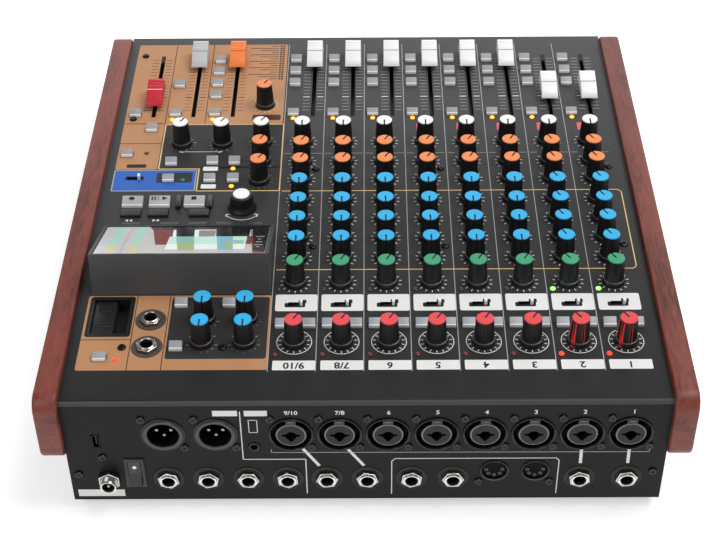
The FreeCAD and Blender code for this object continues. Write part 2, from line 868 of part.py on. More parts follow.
def channel_knobs(channel):
    """Name, place and pointer turn of each knob of a channel. The first two channels are turned up."""
    u = column_u(channel)
    turned_up = channel in ("1", "2")
    turn = knob_half_turn if turned_up else -knob_half_turn
    eq_turn = knob_half_turn if turned_up else 0.0
    knobs = [("pan", u, pan_v, 0.0)]
    knobs += [(f"send_{k}", u, v, turn) for k, v in zip(("one", "two"), send_rows)]
    knobs += [(f"eq_{k}", u, v, eq_turn) for k, v in zip(("high", "frequency", "mid", "low"), eq_rows)]
    return knobs + [("comp", u, comp_v, turn), ("gain", u + gain_offset, gain_v, turn)]


def moving_knobs():
    """The knobs that have a piece each: channel 1 and the master section."""
    knobs = {f"channel_1_{name}_knob": (u, v, turn) for name, u, v, turn in channel_knobs("1")}
    for name, (column, offset, row, behind, turn) in master_knobs.items():
        u, v = place_of(column, offset, row, behind)
        knobs[name] = (u, v, turn)
    return knobs


def grouped_knobs():
    knobs = [knob for name in channels[1:] for knob in channel_knobs(name)]
    return [(u, v, turn) for name, u, v, turn in knobs]


def all_faders():
    faders = {}
    for name, rest in zip(channels, channel_fader_rest):
        faders[f"channel_{name}_fader"] = (column_u(name, fader_offset), rest)
    for name, (column, offset, rest) in master_faders.items():
        faders[name] = (column_u(column, offset), rest)
    return faders


def lamps():
    places = [place_of(*place) for place in master_lamps]
    for name in channels:
        places += [(column_u(name, du), rows[row] + dv) for du, row, dv in channel_lamps]
    return [lamp(u, v) for u, v in places]


def pots():
    """Behind each knob that turns by itself, and behind the slide switches."""
    places = [(u, v) for u, v, turn in moving_knobs().values()] + [(jog_u, jog_v)]
    return [pot(u, v) for u, v in places] + [switch_case(u, v) for u, v in slide_switches()]


def transport_places():
    """Place, size and height of each key in front of the hump."""
    rows_of_keys = (
        (large_keys, large_key_gap, large_key, large_key_height),
        (dark_keys, dark_key_gap, dark_key, large_key_height - low_key_drop),
        (soft_keys, soft_key_gap, soft_key, large_key_height - low_key_drop),
    )
    places = []
    for keys, gap, size, height in rows_of_keys:
        for column, offset in keys:
            places.append((column_u(column, offset), hump_front_v - gap, size, height))
    return places


def phones_places():
    return [(phones_u, gain_v + step) for step in phones_steps]


def jack_sockets():
    sockets = [out_of_rear(jack(), u, jack_row_w) for u in jack_us]
    return sockets + [on_deck(jack(), u, v) for u, v in phones_places()]


def rear_ports():
    return [
        out_of_rear(usb_port(), usb_u, -usb_drop),
        out_of_rear(mini_jack(), mini_u, -mini_drop),
        out_of_rear(power_inlet(), inlet_u, inlet_w),
        out_of_rear(switch_frame(), rocker_u, rocker_w),
    ]


def all_parts():
    parts = {
        "base_tray": [base_tray()],
        "top_cover": [top_cover()],
        "left_cheek": [cheek(-1)],
        "right_cheek": [cheek(1)],
        "display_housing": [display_housing()],
        "display_window": [display_window()],
        "display_module": [display_module()],
        "rubber_feet": feet(),
        "card_bay": [card_bay()],
        "combo_sockets": [out_of_rear(combo(), column_u(name), mic_row_w) for name in channels],
        "male_sockets": [out_of_rear(male_socket(), u, mic_row_w) for u in male_us],
        "jack_sockets": jack_sockets(),
        "midi_sockets": [out_of_rear(din_socket(), u, din_w) for u in din_us],
        "rear_ports": rear_ports(),
        "control_board": [control_board()],
        "main_board": [main_board()],
        "rear_board": [rear_board()],
        "potentiometers": pots(),
        "fader_tracks": [fader_track(u) for u, rest in all_faders().values()],
        "indicator_lamps": lamps(),
        "channel_knobs": [knob(*place) for place in grouped_knobs()],
        "power_rocker": [out_of_rear(rocker(), rocker_u, rocker_w)],
        "jog_dial": [jog_dial()],
        "channel_keys": [key(*place) for place in channel_keys()],
        "input_keys": [key(*place) for place in input_keys()],
        "master_keys": [key(*place) for place in all_master_keys()],
        "transport_keys": [key(*place) for place in transport_places()],
        "mode_levers": [lever(u - switch_travel / 2, v) for u, v in slide_switches()],
    }
    for name, (u, rest) in all_faders().items():
        parts[name] = [fader(u, rest)]
    for name, (u, v, turn) in moving_knobs().items():
        parts[name] = [knob(u, v, turn)]
    return parts


def stood_on_feet(parts):
    """Tilts the part by the deck's slope and puts the middle of its outline on the floor at the origin."""
    tilted = {}
    for name, solids in parts.items():
        shape = solids[0] if len(solids) == 1 else Part.makeCompound(solids)
        turned = shape.copy()
        turned.rotate(V(0, 0, 0), V(1, 0, 0), deck_slope)
        tilted[name] = turned
    around = Part.makeCompound(list(tilted.values())).optimalBoundingBox(False)
    middle = V(-(around.XMin + around.XMax) / 2, -(around.YMin + around.YMax) / 2, -around.ZMin)
    for shape in tilted.values():
        shape.translate(middle)
    return tilted, middle


def main():
    shapes, middle = stood_on_feet(all_parts())
    os.makedirs("parts", exist_ok=True)
    for name, shape in shapes.items():
        shape.exportStep(f"parts/{name}.step")
    print(len(shapes), "pieces written; the deck's front edge was moved by", [round(x, 4) for x in middle])


main()
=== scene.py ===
import bpy
import json
import math
from mathutils import Matrix, Vector


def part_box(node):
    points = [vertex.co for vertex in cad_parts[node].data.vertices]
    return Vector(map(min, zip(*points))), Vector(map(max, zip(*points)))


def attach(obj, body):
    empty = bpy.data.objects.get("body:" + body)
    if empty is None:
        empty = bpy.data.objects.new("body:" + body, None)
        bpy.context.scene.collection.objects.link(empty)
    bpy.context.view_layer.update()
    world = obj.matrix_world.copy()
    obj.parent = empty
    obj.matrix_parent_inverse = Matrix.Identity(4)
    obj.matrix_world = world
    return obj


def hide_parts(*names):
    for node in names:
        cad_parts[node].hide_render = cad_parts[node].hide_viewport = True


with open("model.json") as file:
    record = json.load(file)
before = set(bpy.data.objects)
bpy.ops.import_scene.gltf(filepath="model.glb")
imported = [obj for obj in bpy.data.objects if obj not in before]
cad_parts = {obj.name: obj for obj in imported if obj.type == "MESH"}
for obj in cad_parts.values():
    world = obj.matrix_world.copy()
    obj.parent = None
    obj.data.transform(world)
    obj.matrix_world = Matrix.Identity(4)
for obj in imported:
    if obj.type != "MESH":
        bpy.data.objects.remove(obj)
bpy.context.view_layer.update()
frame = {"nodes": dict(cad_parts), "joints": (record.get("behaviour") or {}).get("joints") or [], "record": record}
nodes = frame["nodes"]
joints = {joint["name"]: joint for joint in frame["joints"]}
bodies = {node: body for body, held in frame["record"]["behaviour"]["bodies"].items() for node in held}
print("frame loaded:", len(nodes), "nodes")

# The deck's own frame in millimetres, taken from the jog dial's joint and the cover's front edge:
# x runs to the user's right, y back along the deck and z out of it.
jogAxis = Vector(joints["jog_dial_turn"]["axis"])
jogPlace = Vector(joints["jog_dial_turn"]["pos_m"])
slope = math.atan2(abs(jogAxis.y), abs(jogAxis.z))
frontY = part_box("top_cover")[0].y
jogBack = (jogPlace.y - frontY) / math.cos(slope)
frontZ = jogPlace.z - jogBack * math.sin(slope)
deckFrame = Matrix.Translation((0, frontY, frontZ)) @ Matrix.Rotation(slope, 4, "X") @ Matrix.Scale(0.001, 4)
deckInverse = deckFrame.inverted()

case = {"width": 318, "depth": 350}
strip = {"count": 8, "pitch": 25.4, "first": -138.6, "used": 2}  # the used ones are turned up and show a signal
strips = [strip["first"] + strip["pitch"] * number for number in range(strip["count"])]


def at(x, y, z=0):
    return Matrix.Translation((x, y, z))


def about(degrees, axis="Z"):
    return Matrix.Rotation(math.radians(degrees), 4, axis)


def onDeck(x, y, lift=0, turn=0):  # turn is clockwise in degrees, seen from above
    return deckFrame @ at(x, y, lift) @ about(-turn)


def onRear(x, z, lift=0, turn=0):  # drawn z points out of the rear panel; seen from there x is right and y up
    return deckFrame @ at(x, case["depth"] + lift, z) @ about(-90, "X") @ about(180 + turn)


# Modelling by hand: small wrappers round the mesh operators

def idle():
    if bpy.context.object and bpy.context.object.mode != "OBJECT":
        bpy.ops.object.mode_set(mode="OBJECT")
    bpy.ops.object.select_all(action="DESELECT")


def active(piece):
    idle()
    piece.select_set(True)
    bpy.context.view_layer.objects.active = piece


def settled():
    bpy.ops.object.transform_apply(location=True, rotation=True, scale=True)
    return bpy.context.object


def moved(piece, place):
    piece.data.transform(place)
    return piece


def rod(sides, radius, low, high, x=0, y=0):
    idle()
    middle = (x, y, (low + high) / 2)
    bpy.ops.mesh.primitive_cylinder_add(vertices=sides, radius=radius, depth=high - low, location=middle)
    return settled()


def block(x, y, z, dx, dy, dz):  # centred on x and y, standing on z
    idle()
    bpy.ops.mesh.primitive_cube_add(size=1, location=(x, y, z + dz / 2))
    bpy.context.object.scale = (dx, dy, dz)
    return settled()


def sheet(width, length, z=0):
    idle()
    bpy.ops.mesh.primitive_plane_add(size=1, location=(0, 0, z))
    bpy.context.object.scale = (width, length, 1)
    return settled()


def outward():
    bpy.ops.mesh.select_all(action="SELECT")
    bpy.ops.mesh.normals_make_consistent(inside=False)
    idle()


def thickened(height):
    bpy.ops.mesh.select_all(action="SELECT")
    bpy.ops.mesh.extrude_region_move(TRANSFORM_OT_translate={"value": (0, 0, height)})
    outward()


def slab(width, length, low, high, radius, segments=4):  # a plate with rounded corners round the axis
    piece = sheet(width, length, low)
    bpy.ops.object.mode_set(mode="EDIT")
    bpy.ops.mesh.select_all(action="SELECT")
    bpy.ops.mesh.bevel(offset=radius, segments=segments, affect="VERTICES")
    thickened(high - low)
    return piece


def pick(piece, kind, parts, test):  # leaves the piece in edit mode with the wanted parts selected
    active(piece)
    bpy.ops.object.mode_set(mode="EDIT")
    bpy.ops.mesh.select_mode(type=kind)
    bpy.ops.mesh.select_all(action="DESELECT")
    bpy.ops.object.mode_set(mode="OBJECT")
    for part in getattr(piece.data, parts):
        part.select = bool(test(part))
    bpy.ops.object.mode_set(mode="EDIT")


def pickFaces(piece, test):  # test gets a face's middle and normal
    pick(piece, "FACE", "polygons", lambda face: test(face.center, face.normal))


def pickPoints(piece, test):
    pick(piece, "VERT", "vertices", lambda point: test(point.co))


def pickTop(piece):
    top = max(point.co.z for point in piece.data.vertices)
    pickFaces(piece, lambda middle, normal: normal.z > 0.9 and middle.z > top - 0.001)


def zone(outer=math.inf, inner=-1, low=-math.inf, high=math.inf):  # a test of a face's radius and height in mm
    return lambda middle, normal: inner < math.hypot(middle.x, middle.y) < outer and low < middle.z < high


def rise(height, share=1.0, x=0, y=0):  # pulls the picked face up and narrows it round its axis
    bpy.ops.mesh.extrude_region_move(TRANSFORM_OT_translate={"value": (0, 0, height)})
    bpy.ops.transform.resize(value=(share, share, 1), center_override=(x, y, 0))


def turned(piece, rings):  # radius and height of each further ring, from the rod's top face on
    top = max(point.co.z for point in piece.data.vertices)
    rim = [point.co for point in piece.data.vertices if point.co.z > top - 0.001]
    radius = max(math.hypot(point.x, point.y) for point in rim)
    pickTop(piece)
    for nextRadius, height in rings:
        rise(height - top, nextRadius / radius)
        radius, top = nextRadius, height
    idle()
    return piece


def cut(piece, point, normal):
    active(piece)
    bpy.ops.object.mode_set(mode="EDIT")
    bpy.ops.mesh.select_all(action="SELECT")
    bpy.ops.mesh.bisect(plane_co=point, plane_no=normal)
    bpy.ops.object.mode_set(mode="OBJECT")
    return piece


def nudge(piece, test, move):
    pickPoints(piece, test)
    bpy.ops.transform.translate(value=move)
    idle()
    return piece


def bevelled(piece, width, segments=2, angle=30):
    active(piece)
    bevel = piece.modifiers.new("edges", "BEVEL")
    bevel.width, bevel.segments, bevel.limit_method = width, segments, "ANGLE"
    bevel.angle_limit = math.radians(angle)
    bevel.use_clamp_overlap = True
    bpy.ops.object.modifier_apply(modifier=bevel.name)
    return piece


def smooth(piece, angle=35):
    active(piece)
    bpy.ops.object.shade_smooth_by_angle(angle=math.radians(angle))
    return piece


def less(piece, tool):  # cuts the tool out of the piece
    active(piece)
    hole = piece.modifiers.new("hole", "BOOLEAN")
    hole.operation, hole.object, hole.solver = "DIFFERENCE", tool, "EXACT"
    bpy.ops.object.modifier_apply(modifier=hole.name)
    bpy.data.objects.remove(tool)
    return piece


def painted(piece, material, *spots):  # each spot is a further material with the test of its faces
    for coat, test in ((material, zone()), *spots):
        index = piece.data.materials.find(coat.name)
        if index < 0:
            index = len(piece.data.materials)
            piece.data.materials.append(coat)
        for face in piece.data.polygons:
            if test(face.center, face.normal):
                face.material_index = index
    return piece


def joined(pieces):
    idle()
    for piece in pieces:
        piece.select_set(True)
    bpy.context.view_layer.objects.active = pieces[0]
    if len(pieces) > 1:
        bpy.ops.object.join()
    return pieces[0]


def copyAt(source, place, swap=None):  # swap gives another material for a slot
    made = source.copy()
    made.data = source.data.copy()
    made.data.transform(place)
    bpy.context.scene.collection.objects.link(made)
    for old, new in (swap or {}).items():
        for index, material in enumerate(made.data.materials):
            if material.name == old:
                made.data.materials[index] = new
    return made


def eased(material, edge, segments, *box):  # a block with rounded edges and its finish
    return painted(bevelled(block(*box), edge, segments), material)


def finished(piece, body, name, stands=()):
    piece.name = name
    piece.data.name = name
    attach(piece, body)
    if stands:
        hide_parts(*stands)


def standIn(piece, name, ending):  # takes the place of the CAD's piece of that name
    finished(piece, bodies[name], name + ending, [name])


def dropped(*sources):
    for source in sources:
        bpy.data.objects.remove(source)


# Finishes: a material is one Paint, and its sockets take part in plain arithmetic as Wires

class Wire:
    def __init__(self, paint, socket):
        self.paint, self.socket = paint, socket

    def maths(self, operation, first, second):
        return self.paint.node("ShaderNodeMath", {"operation": operation}, {0: first, 1: second})

    def __add__(self, other):
        return self.maths("ADD", self, other)

    def __sub__(self, other):
        return self.maths("SUBTRACT", self, other)

    def __rsub__(self, other):
        return self.maths("SUBTRACT", other, self)

    def __mul__(self, other):
        return self.maths("MULTIPLY", self, other)

    def __gt__(self, other):
        return self.maths("GREATER_THAN", self, other)

    __radd__ = __add__
    __rmul__ = __mul__


class Paint:
    def __init__(self, name, **fixed):  # fixed are the shader's own constants
        self.material = bpy.data.materials.new(name)
        self.material.use_nodes = True
        self.tree = self.material.node_tree
        self.tree.nodes.clear()
        self.shader = self.tree.nodes.new("ShaderNodeBsdfPrincipled")
        surface = self.tree.nodes.new("ShaderNodeOutputMaterial")
        self.tree.links.new(self.shader.outputs[0], surface.inputs[0])
        for socket, value in fixed.items():
            self.shader.inputs[socket.replace("_", " ")].default_value = value
        self.place = self.node("ShaderNodeTexCoord", {}, {}, "Object")

    def feed(self, socket, value):
        if isinstance(value, Wire):
            self.tree.links.new(value.socket, socket)
        else:
            socket.default_value = value

    def node(self, kind, settings, sockets, output=0):
        made = self.tree.nodes.new(kind)
        for name, value in settings.items():
            if name == "stops":
                while len(made.color_ramp.elements) < len(value):
                    made.color_ramp.elements.new(0.5)
                for element, (where, colour) in zip(made.color_ramp.elements, value):
                    element.position, element.color = where, (*colour, 1)
            else:
                setattr(made, name, value)
        for name, value in sockets.items():
            self.feed(made.inputs[name], value)
        return Wire(self, made.outputs[output])

    def noise(self, scale, detail=3, place=None, roughness=0.55):
        sockets = {"Vector": place or self.place, "Scale": scale, "Detail": detail, "Roughness": roughness}
        return self.node("ShaderNodeTexNoise", {}, sockets)

    def stretched(self, scale):
        return self.node("ShaderNodeMapping", {}, {"Vector": self.place, "Scale": scale})

    def facing(self):
        return self.node("ShaderNodeNewGeometry", {}, {}, "Normal")

    def part(self, vector, axis):
        return self.node("ShaderNodeSeparateXYZ", {}, {0: vector}, axis)

    def ramp(self, factor, stops):
        return self.node("ShaderNodeValToRGB", {"stops": stops}, {"Fac": factor})

    def set(self, socket, value):
        self.feed(self.shader.inputs[socket], value)

    def blend(self, factor, low, high, socket="Base Color"):
        self.set(socket, self.ramp(factor, [(0.3, low), (0.7, high)]))

    def bump(self, height, strength, distance):
        sockets = {"Height": height, "Strength": strength, "Distance": distance}
        self.set("Normal", self.node("ShaderNodeBump", {}, sockets))


def tint(colour, share):
    return tuple(min(1, part * share) for part in colour)


def moulded(name, colour, roughness=0.45, grain=1400, depth=0.00003, vary=0.14, **fixed):
    paint = Paint(name, **fixed)
    fine = paint.noise(grain, 3)
    broad = paint.noise(55, 2)
    paint.blend(fine * 0.5 + broad * 0.5, tint(colour, 1 - vary), tint(colour, 1 + vary))
    paint.set("Roughness", roughness - 0.06 + fine * 0.08 + broad * 0.06)
    paint.bump(fine, 0.5, depth)
    return paint.material


def coated(name, near, far, roughness):  # powder-coated steel, painted paler towards the user's side as a painted sheen, with a painted highlight and painted shade below
    paint = Paint(name, IOR=1.5, Specular_IOR_Level=0.16)
    fine = paint.noise(2600, 2)
    broad = paint.noise(16, 3)
    facing = paint.facing()
    back, up = paint.part(facing, "Y"), paint.part(facing, "Z")
    foldHighlight = (back > 0.3) * (up > 0.3)  # painted highlight: the rounded edge to the rear panel is painted lighter
    # painted sheen: the colour grows paler towards the user's side
    away = paint.part(paint.place, "Y") * -2.6 + 0.5
    # painted shade: faces that look straight back, such as the rear panel, are darkened
    mix = away * 0.8 + fine * 0.12 + broad * 0.08 + foldHighlight - (back > 0.95) * 0.2
    paint.set("Base Color", paint.ramp(mix, [(0.02, tint(near, 0.4)), (0.14, near), (0.9, far)]))
    paint.set("Roughness", roughness - 0.08 + fine * 0.1 + broad * 0.08)
    paint.bump(fine, 0.6, 0.00004)
    return paint.material


def plated(name, colour, roughness):
    paint = Paint(name, Metallic=1.0)
    fine = paint.noise(900, 4)
    broad = paint.noise(90, 2)
    paint.blend(fine * 0.4 + broad * 0.6, tint(colour, 0.85), tint(colour, 1.08))
    paint.set("Roughness", roughness - 0.1 + fine * 0.12 + broad * 0.1)
    paint.bump(fine, 0.3, 0.00001)
    return paint.material


def printed(name, colour, roughness):
    paint = Paint(name, Specular_IOR_Level=0.25)
    fine = paint.noise(3000, 2)
    broad = paint.noise(40, 2)
    paint.blend(fine * 0.5 + broad * 0.5, tint(colour, 0.93), tint(colour, 1.05))
    paint.set("Roughness", roughness - 0.05 + fine * 0.1)
    return paint.material


def lit(name, colour, strength, body=1.0):  # body is how much of the colour the surface itself has
    paint = Paint(name, Roughness=0.2, IOR=1.5, Emission_Strength=strength)
    fine = paint.noise(900, 2)
    paint.blend(fine, tint(colour, 0.85 * body), tint(colour, body))
    paint.blend(fine, tint(colour, 0.93), colour, "Emission Color")
    return paint.material


def beside(name, colour, toward):  # dark plastic with a painted glow: an emitted streak that stands in for the nearby lamp's light and stays put when the knob turns
    paint = Paint(name, Roughness=0.4, Emission_Strength=1)
    fine = paint.noise(1200, 3)
    paint.blend(fine, (0.007, 0.007, 0.008), (0.010, 0.010, 0.011))
    towards = {0: paint.facing(), 1: toward}
    streak = paint.node("ShaderNodeVectorMath", {"operation": "DOT_PRODUCT"}, towards, "Value") - 0.02 + fine * 0.04
    paint.set("Emission Color", paint.ramp(streak, [(0.93, (0, 0, 0)), (0.99, colour)]))
    return paint.material


def stainedWood(name, pale, dark):  # the grain runs along the cheek
    paint = Paint(name, IOR=1.45)
    bands = paint.noise(1, 4, paint.stretched((46, 4.5, 120)), 0.6)
    fibre = paint.noise(1, 3, paint.stretched((700, 14, 1100)), 0.65)
    pores = paint.noise(1, 2, paint.stretched((900, 45, 1500)), 0.5) > 0.62
    tone = bands * 0.56 + fibre * 0.44
    paint.set("Base Color", paint.ramp(tone, [(0.34, dark), (0.5, tint(pale, 0.74)), (0.66, pale)]))
    paint.set("Roughness", 0.34 + fibre * 0.16 + pores * 0.12)
    paint.bump(fibre * 0.6 + pores * -0.5, 0.35, 0.0001)
    return paint.material


def hoodPlastic(name, stops):  # painted shade and highlight: the hump's top is painted darker and its sides lighter
    paint = Paint(name, Specular_IOR_Level=0.3)
    fine = paint.noise(2200, 3)
    # faces that look up get the painted shade, the others the painted highlight
    top = paint.part(paint.facing(), "Z") > 0.4
    paint.set("Base Color", paint.ramp(fine * 0.3 + top * 0.6, stops))
    paint.set("Roughness", 0.36 + fine * 0.1)
    paint.bump(fine, 0.5, 0.00003)
    return paint.material


ink = {name: printed("print" + name.title(), colour, roughness) for name, colour, roughness in (
    ("white", (0.80, 0.80, 0.79), 0.5), ("grey", (0.42, 0.42, 0.41), 0.5), ("gold", (0.85, 0.60, 0.27), 0.5),
    ("tan", (0.50, 0.25, 0.12), 0.5), ("blue", (0.02, 0.12, 0.50), 0.4), ("black", (0.012, 0.012, 0.013), 0.5),
    ("soot", (0.030, 0.030, 0.030), 0.55), ("brown", (0.075, 0.030, 0.018), 0.5), ("pink", (0.80, 0.12, 0.18), 0.5))}
cap = {name: moulded("cap" + name.title(), colour, roughness, 900, 0.00001, vary) for name, colour, roughness, vary in (
    ("white", (0.90, 0.90, 0.90), 0.3, 0.03), ("red", (0.78, 0.06, 0.075), 0.35, 0.07),
    ("orange", (0.86, 0.25, 0.07), 0.35, 0.06), ("blue", (0.015, 0.42, 0.78), 0.35, 0.06),
    ("green", (0.035, 0.33, 0.16), 0.35, 0.07), ("grey", (0.56, 0.56, 0.56), 0.35, 0.06))}
deckCoat = coated("deckCoat", (0.017, 0.017, 0.0175), (0.072, 0.072, 0.074), 0.42)
trayCoat = coated("trayCoat", (0.012, 0.012, 0.013), (0.02, 0.02, 0.021), 0.5)
cheekWood = stainedWood("cheekWood", (0.26, 0.055, 0.036), (0.06, 0.012, 0.008))
# the first two stops are the sides' painted highlight, the last two the top's painted shade
humpBlack = hoodPlastic("humpBlack", [(0.1, (0.098, 0.098, 0.102)), (0.25, (0.115, 0.115, 0.12)),
                                      (0.7, (0.026, 0.026, 0.028)), (0.85, (0.032, 0.032, 0.034))])
knobBlack = moulded("knobBlack", (0.008, 0.008, 0.009), 0.4, 1200, 0.00004)
# lighter plastic, painted as a highlight band where the knobs' grip meets the skirt
knobEdge = moulded("knobEdge", (0.10, 0.10, 0.105), 0.25)
knobSlot = moulded("knobSlot", (0.02, 0.018, 0.018), 0.5)
socketBlack = moulded("socketBlack", (0.010, 0.010, 0.011), 0.38)
footRubber = moulded("footRubber", (0.02, 0.02, 0.02), 0.8, 700, 0.00008)
boardGreen = moulded("boardGreen", (0.02, 0.12, 0.05), 0.4)
partGrey = moulded("partGrey", (0.20, 0.20, 0.21), 0.5)
keyGrey = moulded("keyGrey", (0.34, 0.36, 0.38), 0.36, 900, 0.00002)
# pale colour painted on the keys' rear face and the rear edge of their top
keyLip = moulded("keyLip", (0.88, 0.89, 0.88), 0.3, 900, 0.00002)
keyDark = moulded("keyDark", (0.02, 0.02, 0.021), 0.35)
largeGrey = moulded("largeGrey", (0.38, 0.39, 0.40), 0.4, 1000, 0.00002)
faderOrange = moulded("faderOrange", (0.96, 0.24, 0.06), 0.32, 900, 0.00001, 0.04, Specular_IOR_Level=0.35)
faderRed = moulded("faderRed", (0.58, 0.03, 0.04), 0.34, 900, 0.00001, 0.06, Specular_IOR_Level=0.25)
nickel = plated("nickel", (0.42, 0.40, 0.375), 0.24)
# bright steel, painted on chamfers and rims as a highlight
steelRim = plated("steelRim", (0.86, 0.85, 0.82), 0.2)
darkMetal = plated("darkMetal", (0.045, 0.045, 0.048), 0.2)
print("finishes made")


def deckBox(node):  # a node's extent in the deck's own frame, mm
    world = nodes[node].matrix_world
    points = [deckInverse @ (world @ point.co) for point in nodes[node].data.vertices]
    low = Vector(min(point[i] for point in points) for i in range(3))
    return low, Vector(max(point[i] for point in points) for i in range(3))


def axisOf(joint):
    return deckInverse @ Vector(joints[joint]["pos_m"])


# Case: the CAD's folded cover, tray, housing and bay keep their shape and get a finish

for node, material in {
    "top_cover": deckCoat, "base_tray": trayCoat, "rubber_feet": footRubber, "display_housing": humpBlack,
    "card_bay": socketBlack, "control_board": boardGreen, "main_board": boardGreen, "rear_board": boardGreen,
    "potentiometers": partGrey, "fader_tracks": knobBlack, "power_rocker": keyDark,
}.items():
    nodes[node].data.materials.clear()
    nodes[node].data.materials.append(material)

cheek = {"thickness": 12.5, "front": 1.2, "rear": 354.5, "low": -39.5, "high": 4.5, "corner": 9, "edge": 1.3}


def makeCheek(side, name):
    x = side * (case["width"] + cheek["thickness"]) / 2
    middle, length = (cheek["rear"] + cheek["front"]) / 2, cheek["rear"] - cheek["front"]
    piece = block(x, middle, cheek["low"], cheek["thickness"], length, cheek["high"] - cheek["low"])

    def across(edge):
        start, end = (piece.data.vertices[i].co for i in edge.vertices)
        return abs(start.x - end.x) > 1
    pick(piece, "EDGE", "edges", across)
    bpy.ops.mesh.bevel(offset=cheek["corner"], segments=10, affect="EDGES")
    bevelled(piece, cheek["edge"], 3, 60)
    standIn(smooth(moved(painted(piece, cheekWood), deckFrame), 30), name, "Wood")


makeCheek(-1, "left_cheek")
makeCheek(1, "right_cheek")
print("case finished")

# Knobs: a round skirt with a painted highlight band above it, a ribbed grip, a coloured cap with a slot that points
# straight back

knob = {"sides": 40, "skirt": 6.3, "low": 0.3, "step": 0.9, "grip": (5, 15), "rim": 0.12, "groove": 0.16,
        "edgeLow": 2.6, "edgeHigh": 3.3, "capLow": 16.3, "slot": 0.95, "slotEnd": 5.4, "slotFloor": 16.55, "top": 17,
        "rings": [(6.15, 1.3), (6.0, 2.4), (5.92, 2.95), (5.62, 3.05), (5.55, 3.6), (4.85, 15.6), (4.62, 16.1),
                  (4.62, 16.3), (4.74, 16.35), (4.74, 16.8), (4.5, 17)]}


def ribbed(kind):  # a round grip with every other facet let in
    piece = turned(rod(kind["sides"], kind["skirt"], kind["low"], kind["step"]), kind["rings"])
    low, high = kind["grip"]
    facet = 360 / kind["sides"]

    def grooved(middle, normal):
        number = round(math.degrees(math.atan2(middle.y, middle.x)) / facet - 0.5)
        return low < middle.z < high and abs(normal.z) < 0.3 and number % 2 == 0
    pickFaces(piece, grooved)
    bpy.ops.mesh.inset(thickness=kind["rim"], depth=-kind["groove"], use_individual=True)
    idle()
    return piece


def makeKnob(top):
    piece = ribbed(knob)
    less(piece, block(0, knob["slotEnd"] / 2, knob["slotFloor"], knob["slot"], knob["slotEnd"], 1))
    half, slotLow = knob["slot"] / 2 + 0.01, knob["slotFloor"] - 0.05
    # painted highlight: a lighter band where the grip meets the skirt
    painted(piece, knobBlack, (knobEdge, zone(low=knob["edgeLow"], high=knob["edgeHigh"])),
            (top, zone(low=knob["capLow"])),
            (knobSlot, lambda middle, normal: slotLow < middle.z < knob["top"] - 0.01
             and abs(middle.x) < half and middle.y > -0.05))
    return smooth(piece, 32)


knobKinds = {name: makeKnob(cap[name]) for name in ("white", "orange", "blue", "green", "red")}
rows = {"pan": (122, "white"), "send_one": (142.8, "orange"), "send_two": (160.5, "orange"),
        "eq_high": (180.5, "blue"), "eq_frequency": (199, "blue"), "eq_mid": (216.5, "blue"),
        "eq_low": (234.5, "blue"), "comp": (255.8, "green"), "gain": (304.5, "red")}
gainShift = -0.9
turnEnd = 150  # a knob's turn either way, in degrees


def restTurn(row, number):
    if row == "pan":
        return 0
    if number < strip["used"]:
        return turnEnd
    return 0 if row.startswith("eq") else -turnEnd


masterKnobs = {"effect_level": "orange", "phones_left": "white", "phones_right": "white", "return_level": "white",
               "return_send_one": "orange", "return_send_two": "orange", "master_high": "blue",
               "master_low": "blue", "master_mid": "blue", "master_frequency": "blue"}
# painted glow: the red lamp's light on the gain knobs, as emission
paintedRedGlow = beside("knobRedStreak", (0.85, 0.02, 0.015), (0.66, 0.75, -0.1))
knobPlaces = []
fixedKnobs = []
for number, middle in enumerate(strips):
    for row, (y, kind) in rows.items():
        x = middle + (gainShift if row == "gain" else 0)
        knobPlaces.append((x, y, row))
        # the used strips' gain knobs get the painted lamp glow
        swap = {"knobBlack": paintedRedGlow} if row == "gain" and number < strip["used"] else None
        placed = copyAt(knobKinds[kind], onDeck(x, y, 0, restTurn(row, number)), swap)
        if number:
            fixedKnobs.append(placed)
        else:
            standIn(placed, f"channel_1_{row}_knob", "Round")
finished(joined(fixedKnobs), bodies["channel_knobs"], "channelKnobsRound", ["channel_knobs"])
for short, kind in masterKnobs.items():
    spot = axisOf(short + "_knob_turn")
    knobPlaces.append((spot.x, spot.y, "master"))
    turn = 0 if kind == "blue" else -turnEnd
    standIn(copyAt(knobKinds[kind], onDeck(spot.x, spot.y, 0, turn)), short + "_knob", "Round")
dropped(*knobKinds.values())
print("knobs finished:", len(knobPlaces))

# Jog dial

jog = {"sides": 56, "skirt": 8.5, "low": 0.3, "step": 0.9, "grip": (4, 9), "rim": 0.1, "groove": 0.14, "capLow": 10.38,
       "rings": [(8.35, 1.3), (7.3, 2.6), (7.0, 3.4), (6.55, 9.4), (6.3, 10), (5.2, 10.35), (4.9, 10.4), (4.9, 10.8),
                 (4.5, 11.1)]}
jogDial = painted(ribbed(jog), knobBlack, (cap["white"], zone(low=jog["capLow"])))
jogSpot = axisOf("jog_dial_turn")
moved(jogDial, onDeck(jogSpot.x, jogSpot.y))
finished(smooth(jogDial), bodies["jog_dial"], "jogDialRound", ["jog_dial"])

# Fader caps: a hollowed top with three fine ridges at the user's end and a line across the middle

fader = {"width": 10.8, "length": 22.4, "low": 4, "high": 10.9, "dip": 9.7, "toe": 6.2, "end": 8.4, "shift": -0.8,
         "ridges": (-8.1, -5.4, -2.7), "ridge": 0.35, "ridgeHalf": 0.5, "far": (3.2, 6), "line": 0.45, "lineDeep": 0.2,
         "base": 5, "heelLean": 0.3, "toeLean": 0.45, "taper": 0.93, "edge": 0.7, "blade": (1.2, 3, 11), "bladeLow": -7}


